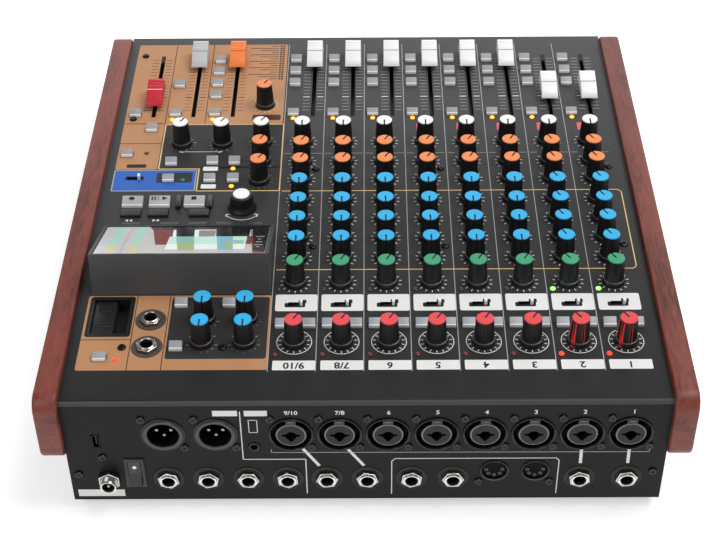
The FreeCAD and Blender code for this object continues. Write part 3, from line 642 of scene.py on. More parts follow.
def makeFader(material, line):
    half, base = fader["length"] / 2, fader["base"]
    piece = block(0, 0, fader["low"], fader["width"], fader["length"], fader["high"] - fader["low"])
    cuts = [y + side * fader["ridgeHalf"] for y in fader["ridges"] for side in (-1, 0, 1)]
    cuts += [-fader["line"], fader["line"], *fader["far"]]
    for y in cuts:
        cut(piece, (0, y, 0), (0, 1, 0))
    for y in cuts:
        fall = (fader["high"] - fader["dip"]) * (min(1, abs(y) / fader["end"]) ** 2 - 1)
        if y > fader["line"]:
            fall = fader["dip"] - fader["high"] + (fader["toe"] - fader["dip"]) * y / half
        lift = fader["ridge"] if y in fader["ridges"] else 0
        nudge(piece, lambda point: abs(point.y - y) < 0.01 and point.z > base, (0, 0, fall + lift))
    for side, lean, drop in ((-1, fader["heelLean"], 0), (1, fader["toeLean"], fader["toe"] - fader["high"])):
        back = side * (fader["end"] - half) * lean
        nudge(piece, lambda point: point.y * side > half - 0.1 and point.z > base, (0, back, drop))
    pickPoints(piece, lambda point: point.z > base)
    bpy.ops.transform.resize(value=(fader["taper"], 1, 1), center_override=(0, 0, 0))
    lineHalf = fader["line"] - 0.05
    pickFaces(piece, lambda middle, normal: abs(middle.y) < lineHalf and normal.z > 0.9)
    rise(-fader["lineDeep"])
    idle()
    bevelled(piece, fader["edge"], 4, 50)
    painted(piece, material,
            (line, lambda middle, normal: abs(middle.y) < lineHalf and normal.z > 0.6 and middle.z > base))
    blade = eased(darkMetal, 0.2, 1, 0, -fader["shift"], fader["bladeLow"], *fader["blade"])
    return smooth(joined([piece, blade]), 40)


faderKinds = {"channel": makeFader(cap["white"], keyDark), "main": makeFader(faderRed, cap["white"]),
              "sub": makeFader(cap["grey"], keyDark), "effect": makeFader(faderOrange, keyDark)}
faderPlaces = []
for name in nodes:
    if name.endswith("_fader"):
        low, high = deckBox(name)
        x, y = (low.x + high.x) / 2, (low.y + high.y) / 2
        kind = name.split("_")[0]
        faderPlaces.append((x, kind))
        standIn(copyAt(faderKinds[kind], onDeck(x, y + fader["shift"])), name, "Cap")
dropped(*faderKinds.values())
print("faders finished:", len(faderPlaces))

# Keys and levers

key = {"low": -3.4, "step": 0.3, "rim": 0.6, "front": 0.2, "rear": 0.15, "edge": 0.4}


def makeKey(width, length, height, material, fall, lip):  # its top falls towards the rear, where its rear face and the top's rear edge are painted paler
    piece = block(0, 0, key["low"], width, length, height - key["low"])
    cut(piece, (0, 0, key["step"]), (0, 0, 1))
    cut(piece, (0, length / 2 - key["rim"], 0), (0, 1, 0))
    nudge(piece, lambda point: point.y < 0 and point.z > 1, (0, key["front"], 0))
    nudge(piece, lambda point: point.y > 0 and point.z > 1, (0, -key["rear"], -fall))
    rim = length / 2 - key["rim"] - 0.2
    painted(bevelled(piece, key["edge"], 3, 50), material,
            (lip, lambda middle, normal: middle.y > rim and middle.z > key["step"] + 0.1))
    return smooth(piece, 40)


largeSize, largeFall, largeRow = (12.4, 8.2, 3.4), 1.2, 183.6
tallKey = makeKey(7.2, 4.8, 4.1, keyGrey, 2.0, keyLip)
lowKey = makeKey(7.2, 4.8, 3.4, keyGrey, 1.5, keyLip)
largeKey = makeKey(*largeSize, largeGrey, largeFall, keyLip)
darkKey = makeKey(11.6, 5.6, 2.4, keyDark, 0.5, keyDark)
softKey = makeKey(11.2, 3.4, 2.4, keyDark, 0, keyDark)
tallSpots = [(x + 7.2, y) for x in strips for y in (28.8, 43.3, 57.4)]
muteSpots = [(x + 7.2, 91.1) for x in strips]
inputSpots = [(x + shift, 291.4) for x in strips for shift in (6.4, -8.4)]
masterSpots = [(122.1, 58.7), (97, 29.8), (97.1, 43.9), (97.1, 57.7), (97.1, 71.6), (147.4, 91.8), (135.3, 108.1),
               (119.6, 143.7), (94.3, 142.9), (94.7, 160.7), (80.7, 143.1), (80.5, 160.5), (101.5, 274.2),
               (75.2, 274.5), (101.4, 308.9)]
lowSpots = [(122, 91.1), (96.8, 91.1), (147.8, 134.8), (119.9, 160.2), (141.4, 316.6)]
largeSpots = [(x, largeRow) for x in (138.7, 122.6, 101.9)]
darkSpots = [(x, 194) for x in (138.7, 122.5, 98.3)]
softSpots = [(x, 205.4) for x in (65.6, 81.9, 98.2, 114.5, 137)]


def group(name, pieces):
    standIn(joined(pieces), name, "Shaped")


def spread(source, spots, panel=onDeck):
    return [copyAt(source, panel(*spot)) for spot in spots]


group("channel_keys", spread(tallKey, tallSpots) + spread(lowKey, muteSpots))
group("input_keys", spread(tallKey, inputSpots))
group("master_keys", spread(tallKey, masterSpots) + spread(lowKey, lowSpots))
signs = []
keyLean = Matrix.Rotation(-math.atan2(largeFall, largeSize[1]), 4, "X")
for sides, x, width, length, turn in ((20, 139.2, 1.7, 1.2, 0), (4, 102.2, 2.1, 1.7, 45), (4, 127, 0.6, 1.9, 45),
                                      (4, 125.3, 0.6, 1.9, 45), (3, 119.9, 2, 1.6, 90), (4, 123.4, 0.25, 2.1, 45)):
    sign = moved(rod(sides, 1, 0, 0.08), about(turn))
    moved(sign, onDeck(x, largeRow - 1.4, largeSize[2] - 0.3) @ keyLean @ Matrix.Diagonal((width, length, 1, 1)))
    signs.append(painted(sign, ink["black"]))
group("transport_keys", spread(largeKey, largeSpots) + spread(darkKey, darkSpots) + spread(softKey, softSpots) + signs)
lever = {"size": (1.6, 2.6, 6.4), "step": 2.2, "guard": (3, 11, 0, 3, 1.1), "guards": [(111.2, 184.2), (92.6, 184.2)]}
leverKind = eased(cap["white"], 0.3, 2, 0, 0, key["low"], *lever["size"])
cut(leverKind, (0, 0, lever["step"]), (0, 0, 1))
leverSpots = [(x - 3.7, 274) for x in strips] + [(137.8, 158.6)]
group("mode_levers", spread(smooth(leverKind), leverSpots))
dropped(tallKey, lowKey, largeKey, darkKey, softKey, leverKind)
guardKind = painted(bevelled(slab(*lever["guard"]), 0.4, 2, 50), keyDark)
finished(smooth(joined(spread(guardKind, lever["guards"]))), "case", "keyGuards")
dropped(guardKind)
print("keys finished")

# Lamps

lampFinish = {"amber": lit("lampAmber", (1.0, 0.42, 0.03), 1.6), "green": lit("lampGreen", (0.25, 1.0, 0.12), 2.2),
              "red": lit("lampRed", (1.0, 0.04, 0.02), 1.3),
              "redOff": moulded("lampRedOff", (0.16, 0.02, 0.015), 0.2),
              "dark": moulded("lampDark", (0.05, 0.05, 0.045), 0.2),
              "greenOff": moulded("lampGreenOff", (0.03, 0.22, 0.09), 0.2)}
lamp = {"radius": 1.5, "rim": 0.35, "rings": [(1.4, 0.55), (1.1, 0.75), (0.6, 0.85)]}


def makeLamp(material):
    piece = turned(rod(20, lamp["radius"], 0, lamp["rim"]), lamp["rings"])
    return smooth(painted(piece, material), 60)


lampKinds = {name: makeLamp(material) for name, material in lampFinish.items()}
lampSpots = [(123.5, 97, "amber"), (97.8, 97, "amber"), (81.3, 149.4, "amber"), (81.2, 167, "amber"),
             (135.9, 132.9, "dark"), (111.1, 160.8, "greenOff"), (132.9, 318.1, "red")]
for number, x in enumerate(strips):
    used = number < strip["used"]
    lampSpots += [(x + 7.2, 96.2, "amber"), (x + 9.1, 262.1, "green" if used else "dark"),
                  (x + 9.2, 314.4, "red" if used else "redOff")]
group("indicator_lamps", [copyAt(lampKinds[kind], onDeck(x, y)) for x, y, kind in lampSpots])
finished(copyAt(lampKinds["redOff"], onDeck(148.4, 96.9)), "case", "mainMuteLamp")
dropped(*lampKinds.values())
print("lamps finished")

# Sockets, drawn with the panel's face at z = 0 and seen from outside: x to the viewer's right, y up

# black of bores, grooves and recesses, deepened as painted shade
boreBlack = moulded("boreBlack", (0.005, 0.005, 0.005), 0.6, Specular_IOR_Level=0.08)
# dark brown of the bores in metal bushes, deepened as painted shade
boreBrown = moulded("boreBrown", (0.022, 0.014, 0.010), 0.4)
ringBlack = moulded("ringBlack", (0.010, 0.010, 0.011), 0.2, 900, 0.00001, Specular_IOR_Level=0.3)
discGrey = moulded("discGrey", (0.022, 0.022, 0.023), 0.42, Specular_IOR_Level=0.2)
# light grey of the DIN contacts, also painted as highlights on rims and the latch tab
discRim = moulded("discRim", (0.16, 0.16, 0.16), 0.25)
ringGrey = moulded("ringGrey", (0.045, 0.045, 0.045), 0.35)
dishSteel = coated("dishSteel", (0.075, 0.069, 0.065), (0.09, 0.085, 0.08), 0.32)
backZ = -23.2  # how far the sockets' bodies reach into the case
jack = {"dish": 8.4, "dishRings": [(8.2, 0.6), (7.7, 0.65), (6.9, 0.3), (4.2, 0.25)], "dishBore": 4.2,
        "nut": 6.05, "nutLow": 0.3, "nutHigh": 2.1, "nutBore": 4.5, "collar": 4.6, "collarHigh": 2.4,
        "collarRings": [(4.5, 2.7), (4.2, 2.9), (3.75, 2.9), (3.4, 2.6)], "mouth": 3.25, "deep": 16.2,
        "body": (14, 14, 22), "row": -57.4}


def hexNut(radius, low, high, sides, bore):
    nut = less(rod(6, radius, low, high), rod(sides, bore, -1, 5))
    # painted highlight: the nut's chamfers are brighter steel
    return painted(bevelled(nut, 0.35, 2), nickel, (steelRim, lambda middle, normal: 0.2 < normal.z < 0.95))


def makeJack():
    dish = turned(rod(48, jack["dish"], -0.2, 0.3), jack["dishRings"])
    painted(less(dish, rod(32, jack["dishBore"], -1, 3)), dishSteel)
    nut = hexNut(jack["nut"], jack["nutLow"], jack["nutHigh"], 40, jack["nutBore"])
    bush = turned(rod(40, jack["collar"], 0.2, jack["collarHigh"]), jack["collarRings"])
    # painted highlight on the collar's top ring, painted shade in the bore
    painted(less(bush, rod(40, jack["mouth"], -1, 5)), nickel,
            (steelRim, zone(4.55, 3.8, jack["collarHigh"] + 0.05)), (boreBrown, zone(jack["mouth"] + 0.02)))
    body = bevelled(block(0, 0, backZ, *jack["body"]), 0.6, 1)
    # painted shade in the body's bore
    painted(less(body, rod(32, jack["mouth"] + 0.2, -jack["deep"], 1)), socketBlack, (boreBlack, zone(4)))
    return smooth(joined([dish, nut, bush, body]), 30)


jackKind = makeJack()
jackSpots = (106.2, 84.8, 63.3, 42.1, 21, -0.6, -24.3, -46.5, -114.4, -139.6)
nutTurns = (12, 48, 25, 5, 37, 18, 52, 30, 9, 41)
jacks = spread(jackKind, [(x, jack["row"], 0, turn) for x, turn in zip(jackSpots, nutTurns)], onRear)
group("jack_sockets", jacks + spread(jackKind, [(117.1, 286.5, 0, 20), (117.1, 307.8, 0, 47)]))
dropped(jackKind)

screw = {"radius": 2.3, "rings": [(2.1, 0.9), (1.4, 1.15)], "slot": 0.5, "slotLength": 2.6, "slotLow": 0.8}


def screwHead(x=0, y=0):
    head = turned(rod(24, screw["radius"], -0.3, 0.5), screw["rings"])
    for sides in ((screw["slot"], screw["slotLength"]), (screw["slotLength"], screw["slot"])):
        less(head, block(0, 0, screw["slotLow"], *sides, 1))
    return smooth(moved(painted(head, darkMetal), at(x, y) @ about(25)))


plate = {"size": (24.4, 30), "edge": 0.8, "screws": ((-10.8, 11.6), (10.6, -9.4))}


def socketBack(height):
    body = eased(socketBlack, plate["edge"], 1, 0, 0, backZ, *plate["size"], height)
    return [body] + [screwHead(x, y) for x, y in plate["screws"]]


combo = {"shell": 11.9, "low": -24, "bore": 3.0, "boreY": -0.4, "wing": (5.2, 1.15), "foot": 1.3, "footY": -3.3,
         "rings": [(11.75, 0.85), (11.2, 0.95), (10.7, 0.5), (10.5, -3.4), (8.1, -3.4), (8.0, 0.7), (7.6, 1), (7.2, 1)],
         "tab": (0, 9.2, -2.8, 5.6, 3.4, 3.6), "nib": (0, 9.9, 0.8, 3, 0.7, 0.35), "backHeight": 12, "row": -23.4}


def makeCombo():
    ring = turned(rod(56, combo["shell"], combo["low"], 0.5), combo["rings"])
    less(ring, rod(40, combo["bore"], -20, 3, 0, combo["boreY"]))
    less(ring, moved(rod(24, 1, -12, 3), Matrix.Diagonal((*combo["wing"], 1, 1))))
    less(ring, rod(16, combo["foot"], -12, 3, 0, combo["footY"]))
    # painted shade in the groove and the deep bore, painted highlight on the disc's rim
    painted(ring, ringBlack, (boreBlack, zone(10.8, high=0.45)), (discRim, zone(8.1, 7.3, 0.8)),
            (discGrey, zone(7.3, low=0.9)), (boreBlack, zone(high=-1.6)))
    tab = eased(socketBlack, 0.5, 2, *combo["tab"])
    # painted highlight: a pale dash on the latch tab
    nib = eased(discRim, 0.15, 1, *combo["nib"])
    return smooth(joined([ring, tab, nib] + socketBack(combo["backHeight"])), 30)


male = {"shell": 11.9, "low": -24, "pin": 1.2, "circle": 3.81, "pinLow": -13.2, "pinHigh": -3.7, "backHeight": 8,
        "rings": [(11.7, 0.6), (10.6, 0.6), (10.4, 1.1), (8.9, 1.1), (8.45, 0.7), (8.4, -13)]}


def makeMale():
    ring = turned(rod(56, male["shell"], male["low"], 0.4), male["rings"])
    # painted shade inside the ring
    painted(ring, ringGrey, (ringBlack, zone(inner=10.5)), (boreBlack, zone(8.7, high=0.4)))
    pins = []
    for x, y in ((-male["circle"], 0), (male["circle"], 0), (0, -male["circle"])):
        pin = rod(16, male["pin"], male["pinLow"], male["pinHigh"], x, y)
        pickTop(pin)
        for height, share in ((0.5, 0.75), (0.2, 0.5)):
            rise(height, share, x, y)
        idle()
        pins.append(painted(pin, nickel))
    back = socketBack(male["backHeight"])
    return smooth(joined([ring, back[0]] + pins + back[1:]), 30)


comboKind, maleKind = makeCombo(), makeMale()
group("combo_sockets", spread(comboKind, [(x, combo["row"]) for x in strips], onRear))
group("male_sockets", spread(maleKind, [(x, combo["row"]) for x in (106.3, 78.9)], onRear))

din = {"shell": 7.9, "low": -1.2, "rings": [(7.75, 0.6), (7.1, 0.65), (6.9, 0.3), (6.6, -1.4)], "well": 6.85,
       "circle": 4.3, "sleeve": (0.95, -1.5, -0.7), "wall": 0.3, "bore": 0.6, "notch": (0, 6, -1.4, 2.8, 1.9, 1.9),
       "body": (0, 0, -14.2, 18, 18, 5), "row": -52}


def makeDin():
    ring = turned(rod(48, din["shell"], din["low"], 0.3), din["rings"])
    # painted highlight on the well's rim, painted shade on its floor
    painted(ring, ringBlack, (discRim, zone(7.2, din["well"], 0.2)), (boreBlack, zone(din["well"], high=0.2)))
    parts = [ring]
    for angle in (180, 225, 270, 315, 360):  # five contacts, each a small bored sleeve
        x, y = (din["circle"] * turn(math.radians(angle)) for turn in (math.cos, math.sin))
        sleeve = rod(14, *din["sleeve"], x, y)
        pickTop(sleeve)
        bpy.ops.mesh.inset(thickness=din["wall"])
        rise(-din["bore"], 1, x, y)
        idle()
        parts.append(painted(sleeve, discRim))
    # painted shade: the key notch is a black block
    parts += [eased(boreBlack, 0.25, 1, *din["notch"]), eased(socketBlack, 0.8, 1, *din["body"])]
    return smooth(joined(parts), 30)


dinKind = makeDin()
group("midi_sockets", spread(dinKind, [(x, din["row"]) for x in (-68.6, -90.4)], onRear))
dropped(comboKind, maleKind, dinKind)

usb = {"width": 4.0, "length": 9.8, "low": -8.2, "high": 0.25, "corner": 1.9, "wall": 0.35, "deep": 6.5,
       "mouthCorner": 1.45, "tongue": (0, 0, -7, 0.8, 6.3, 6)}


def usbPort():
    shell = slab(usb["width"], usb["length"], usb["low"], usb["high"], usb["corner"], 6)
    width, length = usb["width"] - 2 * usb["wall"], usb["length"] - 2 * usb["wall"]
    less(shell, slab(width, length, -usb["deep"], 1, usb["mouthCorner"], 6))
    halfWidth, halfLength = usb["width"] / 2 - 0.1, usb["length"] / 2 - 0.1
    # painted shade: the port's inside is black
    painted(shell, darkMetal, (boreBlack, lambda middle, normal: -usb["deep"] - 0.1 < middle.z < 0.2
                               and abs(middle.x) < halfWidth and abs(middle.y) < halfLength))
    return joined([shell, eased(keyDark, 0.15, 1, *usb["tongue"])])


mini = {"radius": 3.2, "rings": [(3.05, 0.5), (2.1, 0.55), (1.85, 0.3), (1.8, -11)], "bore": 2}


def miniJack():
    ring = turned(rod(32, mini["radius"], -1.2, 0.3), mini["rings"])
    # painted shade in the bore
    return painted(ring, ringBlack, (boreBlack, zone(mini["bore"], high=0.2)))


inlet = {"radius": 4.6, "root": 4.3, "thread": 3.1, "pitch": 0.6, "turns": 5, "mouth": 3.2, "floor": 0.4,
         "rim": [(4.2, 7.0), (3.8, 7.0), (3.5, 6.8)], "pin": (1, 0, 5.6), "pinTip": [(0.6, 6)], "nut": 6.3,
         "nutHigh": 3, "nutBore": 4.4}


def powerInlet():
    rings = []
    for i in range(inlet["turns"]):  # fine thread rings
        z = inlet["thread"] + inlet["pitch"] * i
        rings += [(inlet["root"], z + inlet["pitch"] / 2), (inlet["radius"], z + inlet["pitch"])]
    barrel = turned(rod(40, inlet["radius"], 0, inlet["thread"]), rings + inlet["rim"])
    # painted highlight on the rim's top, painted shade in the bore
    painted(less(barrel, rod(32, inlet["mouth"], inlet["floor"], 12)), nickel,
            (steelRim, lambda middle, normal: middle.z > 6.6 and normal.z > 0.3),
            (boreBrown, zone(inlet["mouth"] + 0.1)))
    pin = painted(turned(rod(16, *inlet["pin"]), inlet["pinTip"]), nickel)
    return joined([barrel, pin, hexNut(inlet["nut"], 0, inlet["nutHigh"], 32, inlet["nutBore"])])


switch = {"outside": (0, 0, -15.2, 11, 22, 16), "opening": (0, 0, -7, 7.2, 18.2, 9)}


def switchFrame():
    return painted(less(bevelled(block(*switch["outside"]), 0.5, 2, 60), block(*switch["opening"])), socketBlack)


ports = []
for make, x, z in ((usbPort, 142.1, -28.2), (miniJack, 59, -32.8), (powerInlet, 138, -57), (switchFrame, 123.8, -52.4)):
    ports.append(smooth(moved(make(), onRear(x, z)), 30))
group("rear_ports", ports)

# The white dot on the rocker's upper half lies on the CAD's own face
rocker = {"split": -52.4, "dot": 1.15, "rings": [(1.0, 0.1)]}
rockerMesh = nodes["power_rocker"].data
upper = [face for face in rockerMesh.polygons
         if face.normal.y > 0.85 and (deckInverse @ face.center).z > rocker["split"]]
widest = max(upper, key=lambda face: face.area)
flush = [face for face in upper if face.normal.dot(widest.normal) > 0.999]
corners = [rockerMesh.vertices[i].co for face in flush for i in face.vertices]
middle = (Vector(map(min, zip(*corners))) + Vector(map(max, zip(*corners)))) / 2
dot = painted(turned(rod(24, rocker["dot"], -0.05, 0.06), rocker["rings"]), cap["white"])
facing = widest.normal.to_track_quat("Z", "Y").to_matrix().to_4x4()
moved(dot, Matrix.Translation(middle) @ facing @ Matrix.Scale(0.001, 4))
finished(dot, bodies["power_rocker"], "rockerDot")
print("sockets finished")

# Display: its picture lies a little below the clear window

hump = {"middle": 102.3, "front": 209.3, "rear": 262.2, "low": 4.4, "high": 26.6, "ledge": -0.55, "glass": 0.3,
        "screen": 28.7, "width": 94.2, "length": 53.4, "margin": 10, "block": 2.3, "blockLevel": -80}
humpSlope = math.atan2(hump["high"] - hump["low"], hump["rear"] - hump["front"])
humpFrame = deckFrame @ at(hump["middle"], hump["front"], hump["low"]) @ Matrix.Rotation(humpSlope, 4, "X")
glow = {name: lit("screen" + name, colour, 1, 0.04) for name, colour in (
    ("Pale", (0.50, 0.51, 0.51)), ("White", (0.80, 0.88, 0.84)), ("Mint", (0.52, 0.80, 0.70)),
    ("Green", (0.18, 0.72, 0.46)), ("Yellow", (0.72, 0.54, 0.10)), ("Red", (0.14, 0.004, 0.005)),
    ("Teal", (0.24, 0.50, 0.46)), ("Moss", (0.36, 0.48, 0.22)), ("Sky", (0.22, 0.50, 0.62)),
    ("Black", (0.006, 0.005, 0.006)), ("Grey", (0.24, 0.22, 0.21)))}

# The card bay's door: a hollowed plate with three ribs
door = {"plate": (12, 26.4, -3.45, -0.9, 1.4), "hollow": (0, 8.6, -1.5, 8.5, 4.6, 2), "ribs": (-9, -7.2, -5.4),
        "rib": (-1, 7.5, 0.7, 0.45), "place": (143.15, 283.5)}
cardDoor = bevelled(slab(*door["plate"]), 0.4, 2, 50)
less(cardDoor, bevelled(block(*door["hollow"]), 0.3, 1))
ribs = [bevelled(block(0, y, *door["rib"]), 0.15, 1) for y in door["ribs"]]
cardDoor = moved(painted(joined([cardDoor] + ribs), socketBlack), onDeck(*door["place"]))
finished(smooth(cardDoor), bodies["card_bay"], "cardDoor")

film = {"step": 0.03, "sunk": 0.02, "overlap": 0.01}  # prints and patches of light lie in thin layers
tileKind = sheet(1, 1)
bpy.ops.object.mode_set(mode="EDIT")
thickened(1)


def tile(place, width, length, material, thick=film["step"]):
    return painted(copyAt(tileKind, place @ Matrix.Diagonal((width, length, thick, 1))), material)


def onScreen(x, y, level=0):
    return humpFrame @ at(x, y, hump["ledge"] + film["step"] * level)


def patch(shade, level, near, far):  # each edge is the height up the screen and its two ends
    piece = tile(Matrix.Identity(4), 1, 1, glow[shade])
    for point in piece.data.vertices:
        y, left, right = near if point.co.y < 0 else far
        point.co.x, point.co.y = (left if point.co.x < 0 else right), y
    return moved(piece, onScreen(0, 0, level))


screen = [tile(onScreen(0, hump["screen"], hump["blockLevel"]), hump["width"] - hump["margin"],
               hump["length"] - hump["margin"], glow["Pale"], hump["block"]),
          tile(onScreen(0, hump["screen"]), hump["width"], hump["length"], glow["Pale"])]
for x in (38.4, 26.5):
    for i in range(18):
        shade = "Green" if i < 12 else "Yellow" if i < 17 else "White"
        screen.append(tile(onScreen(x, 3.2 + 3 * i, 1), 5.2, 1.3, glow[shade]))
for i in range(24):
    screen.append(tile(onScreen(32.5, 4.4 + 2.1 * i, 1), 1.6 if i % 4 else 2.6, 0.4, glow["Grey"]))
for shade, level, near, far in (
        ("Black", 1, (2.1, -47, 22.6), (8.4, -47, 20.2)), ("Red", 1, (8.4, 8.2, 20), (38, 6.3, 15.1)),
        ("White", 1, (8.4, 5.2, 8.2), (38, 5.2, 6.3)), ("White", 1, (8.4, -16.4, 5.2), (22.3, -16.4, 5.2)),
        ("Mint", 2, (22.3, -35.2, 8.8), (37, -35.2, 8.8)), ("White", 2, (37, -35.2, 8.8), (47, -35.2, 8.8)),
        ("Grey", 2, (10, -16.4, -6.6), (22.3, -16.4, -7.6)), ("Black", 3, (8.4, -4, 6.7), (22.3, -5, 5.1)),
        ("Teal", 3, (22.3, -5, 5.1), (35, -6.5, 3.5)), ("Moss", 3, (33, -6.2, 3.7), (48.5, -7.8, 1.4)),
        ("Black", 2, (8.4, -36.2, -16.4), (22.3, -36.2, -17.5)), ("Sky", 3, (22.3, -27.1, -17.8), (48.5, -29.2, -20.5)),
        ("Moss", 4, (33, -27.6, -23.6), (46, -28.6, -24.4)), ("Teal", 3, (29.7, -34.2, -27.8), (37, -34.2, -28.6)),
        ("Red", 3, (22.3, -38.5, -35.2), (37.7, -38.5, -35.2)), ("Black", 4, (2.1, -47, -36.8), (53, -47, -40.4)),
        ("Red", 5, (51, -47, -40.2), (54, -47, -40.8)), ("Red", 5, (9, -37, -36.5), (53, -40.6, -40.1)),
        ("White", 1, (53.6, -40, 13), (55.2, -40, 13))):
    screen.append(patch(shade, level, near, far))
for y, width in ((23, 5), (28, 2), (33.5, 3.6), (39, 5), (43, 2)):
    screen.append(tile(onScreen(-42.6, y, 5), width, 0.9, glow["Pale"]))
group("display_module", screen)
clear = Paint("clearWindow", Roughness=0.04, IOR=1.3, Alpha=0.05)
clear.blend(clear.noise(30), (0.02, 0.02, 0.02), (0.05, 0.05, 0.05))
glass = bevelled(slab(hump["width"], hump["length"], -hump["glass"], 0, 1.2), 0.1, 1, 50)
moved(painted(glass, clear.material), humpFrame @ at(0, hump["screen"]))
finished(glass, bodies["display_window"], "displayWindowClear", ["display_window"])
print("display finished")

# Print: thin strips, areas and plain numbers, one piece for each ink

printing = {name: [] for name in ink}
openings = [(x, 62, 2.8, 64.2) for x, kind in faderPlaces] + [(139.55, 283.5, 23.3, 31)]
openings += [(x, y, 7.8, 5.4) for x, y in tallSpots + muteSpots + inputSpots + masterSpots + lowSpots]
openings += [(x + 2.7, y, 9.2, 3.2) for x, y in leverSpots] + [(117.1, y, 9.4, 9.4) for y in (286.5, 307.8)]


def layer(level):
    return film["step"] * level - film["sunk"]


def line(name, x, y, width, length, turn=0, level=1, panel=onDeck):
    printing[name].append(tile(panel(x, y, layer(level), turn), width, length, ink[name]))


def area(name, left, front, right, back, radius=1.5, level=0):  # left open round the sockets, keys and slots
    piece = slab(right - left, back - front, 0, film["step"], radius)
    moved(piece, at((left + right) / 2, (front + back) / 2))
    for x, y, width, length in openings:
        if left < x < right and front < y < back:
            less(piece, block(x, y, -1, width, length, 2))
    printing[name].append(moved(painted(piece, ink[name]), onDeck(0, 0, layer(level))))


def path(name, points, width=0.6, level=2, panel=onDeck):  # straight runs, one after another
    for start, end in zip(points, points[1:]):
        run = Vector(end) - Vector(start)
        middle = (Vector(start) + Vector(end)) / 2
        lean = math.degrees(math.atan2(run.x, run.y))
        line(name, middle.x, middle.y, width, run.length + width, lean, level, panel)


def numeral(text, place, size, name, weight):
    idle()
    bpy.ops.object.text_add()
    words = bpy.context.object.data
    words.body, words.size, words.offset = text, size, weight
    words.align_x, words.align_y = "CENTER", "CENTER"
    words.resolution_u, words.extrude = 3, film["step"] / 2
    bpy.ops.object.convert(target="MESH")
    printing[name].append(painted(moved(settled(), place), ink[name]))


def arc(name, x, y, inner, outer, half):  # reaches as far to either side of straight back, in degrees
    piece = block((inner + outer) / 2, 0, 0, outer - inner, 0.02, film["step"])
    pickFaces(piece, lambda middle, normal: normal.y > 0.9)
    bpy.ops.mesh.spin(steps=24, angle=math.radians(2 * half), center=(0, 0, 0), axis=(0, 0, 1))
    outward()
    printing[name].append(moved(painted(piece, ink[name]), onDeck(x, y, layer(1)) @ about(90 + half)))


# Areas of the master section
area("tan", 52.8, 8.5, 153.6, 101.8)
area("tan", 127.8, 100.5, 153.6, 149.7)
area("soot", 52.3, 103, 126.6, 148.9, 1, 1)
area("soot", 52.3, 147, 101.6, 171.2, 1, 1)
path("gold", [(102, 171.5), (52, 171.5), (52, 102.4), (126.9, 102.4), (126.9, 149.3), (102, 149.3), (102, 171.5)],
     0.7, 3)
area("tan", 51.9, 266.4, 153.3, 325.6)
area("soot", 127.1, 267.2, 152, 299.8, 2, 1)
area("soot", 53, 268, 106.8, 317.2, 1.5, 1)
area("blue", 103.6, 151, 153, 171, 1, 3)
area("soot", 105.5, 153.2, 127.2, 163, 0.8, 4)
for y in (150.7, 171.2):
    line("grey", 128.3, y, 50, 0.7, 0, 4)
for x in (103.3, 153.3):
    line("grey", x, 160.95, 0.7, 20.5, 0, 4)
area("black", 134.9, 156.8, 146.2, 160.4, 0.6, 5)
area("black", 134.8, 144.4, 146.8, 147.8, 0.6, 3)
area("brown", 54.4, 91.9, 72.5, 97.7, 0.6, 3)
area("white", 90.5, 147.2, 99.6, 151.4, 0.8, 3)
area("white", 90.5, 164.9, 99.6, 169.1, 0.8, 3)
for start, end in (((128, 9), (127.6, 101)), ((102.9, 9), (102.3, 101)), ((128.4, 122.6), (153.4, 122.6)),
                   ((126.2, 266.5), (126.2, 325.5)), ((108, 266.5), (108, 325.5)), ((126.3, 302), (153.2, 302))):
    path("soot", [start, end], 0.45)
path("white", [(113.4, 132.4), (116, 131.6), (89, 131.6), (91.6, 132.4)], 0.35)

# Channel strips
names = ["1", "2", "3", "4", "5", "6", "7/8", "9/10"]
for name, x in zip(names, strips):
    line("grey", x + 12.6, 168, 0.45, 318)
    area("white", x - 12.6, 318.8, x + 10.1, 326, 0.6, 1)
    numeral(name, onDeck(x - 1.2, 322.4, 0.04), 6.4, "black", 0.16)
    area("white", x - 12.6, 266, x + 10.6, 279.7, 1.2, 1)
    area("black", x - 5.9, 273, x + 5.5, 276.6, 0.8, 2)
    area("black", x - 6.5, 270.4, x - 2.2, 273.4, 0.5, 2)
    path("grey", [(x + 11.2, 133.8), (x + 7.4, 133.8)], 0.35)
    path("grey", [(x - 0.6, 133.8), (x - 11.6, 133.8)], 0.35)
    area("pink", x - 3, 102, x + 4.9, 110, 0.6, 1)
left, right, front, back, corner = -153.1, 50.2, 171.9, 244.8, 2
path("gold", [(right, front), (left + corner, front), (left, front + corner), (left, back - corner),
              (left + corner, back), (right, back)])
tick = {"radius": 7.9, "width": 0.45, "length": 1.5, "every": 25}
ticks = [tile(about(-turn) @ at(0, tick["radius"], film["overlap"]), tick["width"], tick["length"], ink["white"])
         for turn in range(-turnEnd, turnEnd + 1, tick["every"])]
tickKind = joined(ticks)
for x, y, row in knobPlaces:
    printing["white"].append(copyAt(tickKind, onDeck(x, y)))
    if row == "gain":
        arc("white", x, y, 9.2, 9.6, turnEnd)
dropped(tickKind)

# Fader scales, and the far end of each slot's dust cover
scale = {"first": 27.5, "step": 3.7, "count": 17, "zero": 12, "cover": (22.6, 29.9)}
for x, kind in faderPlaces:
    plain, strong = ("grey", "white") if kind == "channel" else ("soot", "black")
    area("black", x - 1.4, scale["cover"][0], x + 1.4, scale["cover"][1], 0.8, 2)
    for i in range(scale["count"]):
        y = scale["first"] + scale["step"] * i
        shade, width = (strong, 0.75) if i == scale["zero"] else (plain, 0.38)
        line(shade, x + 4.7, y, 4.4, width, 0, 2)
        line(shade, x - 4.2, y, 4, width, 0, 2)

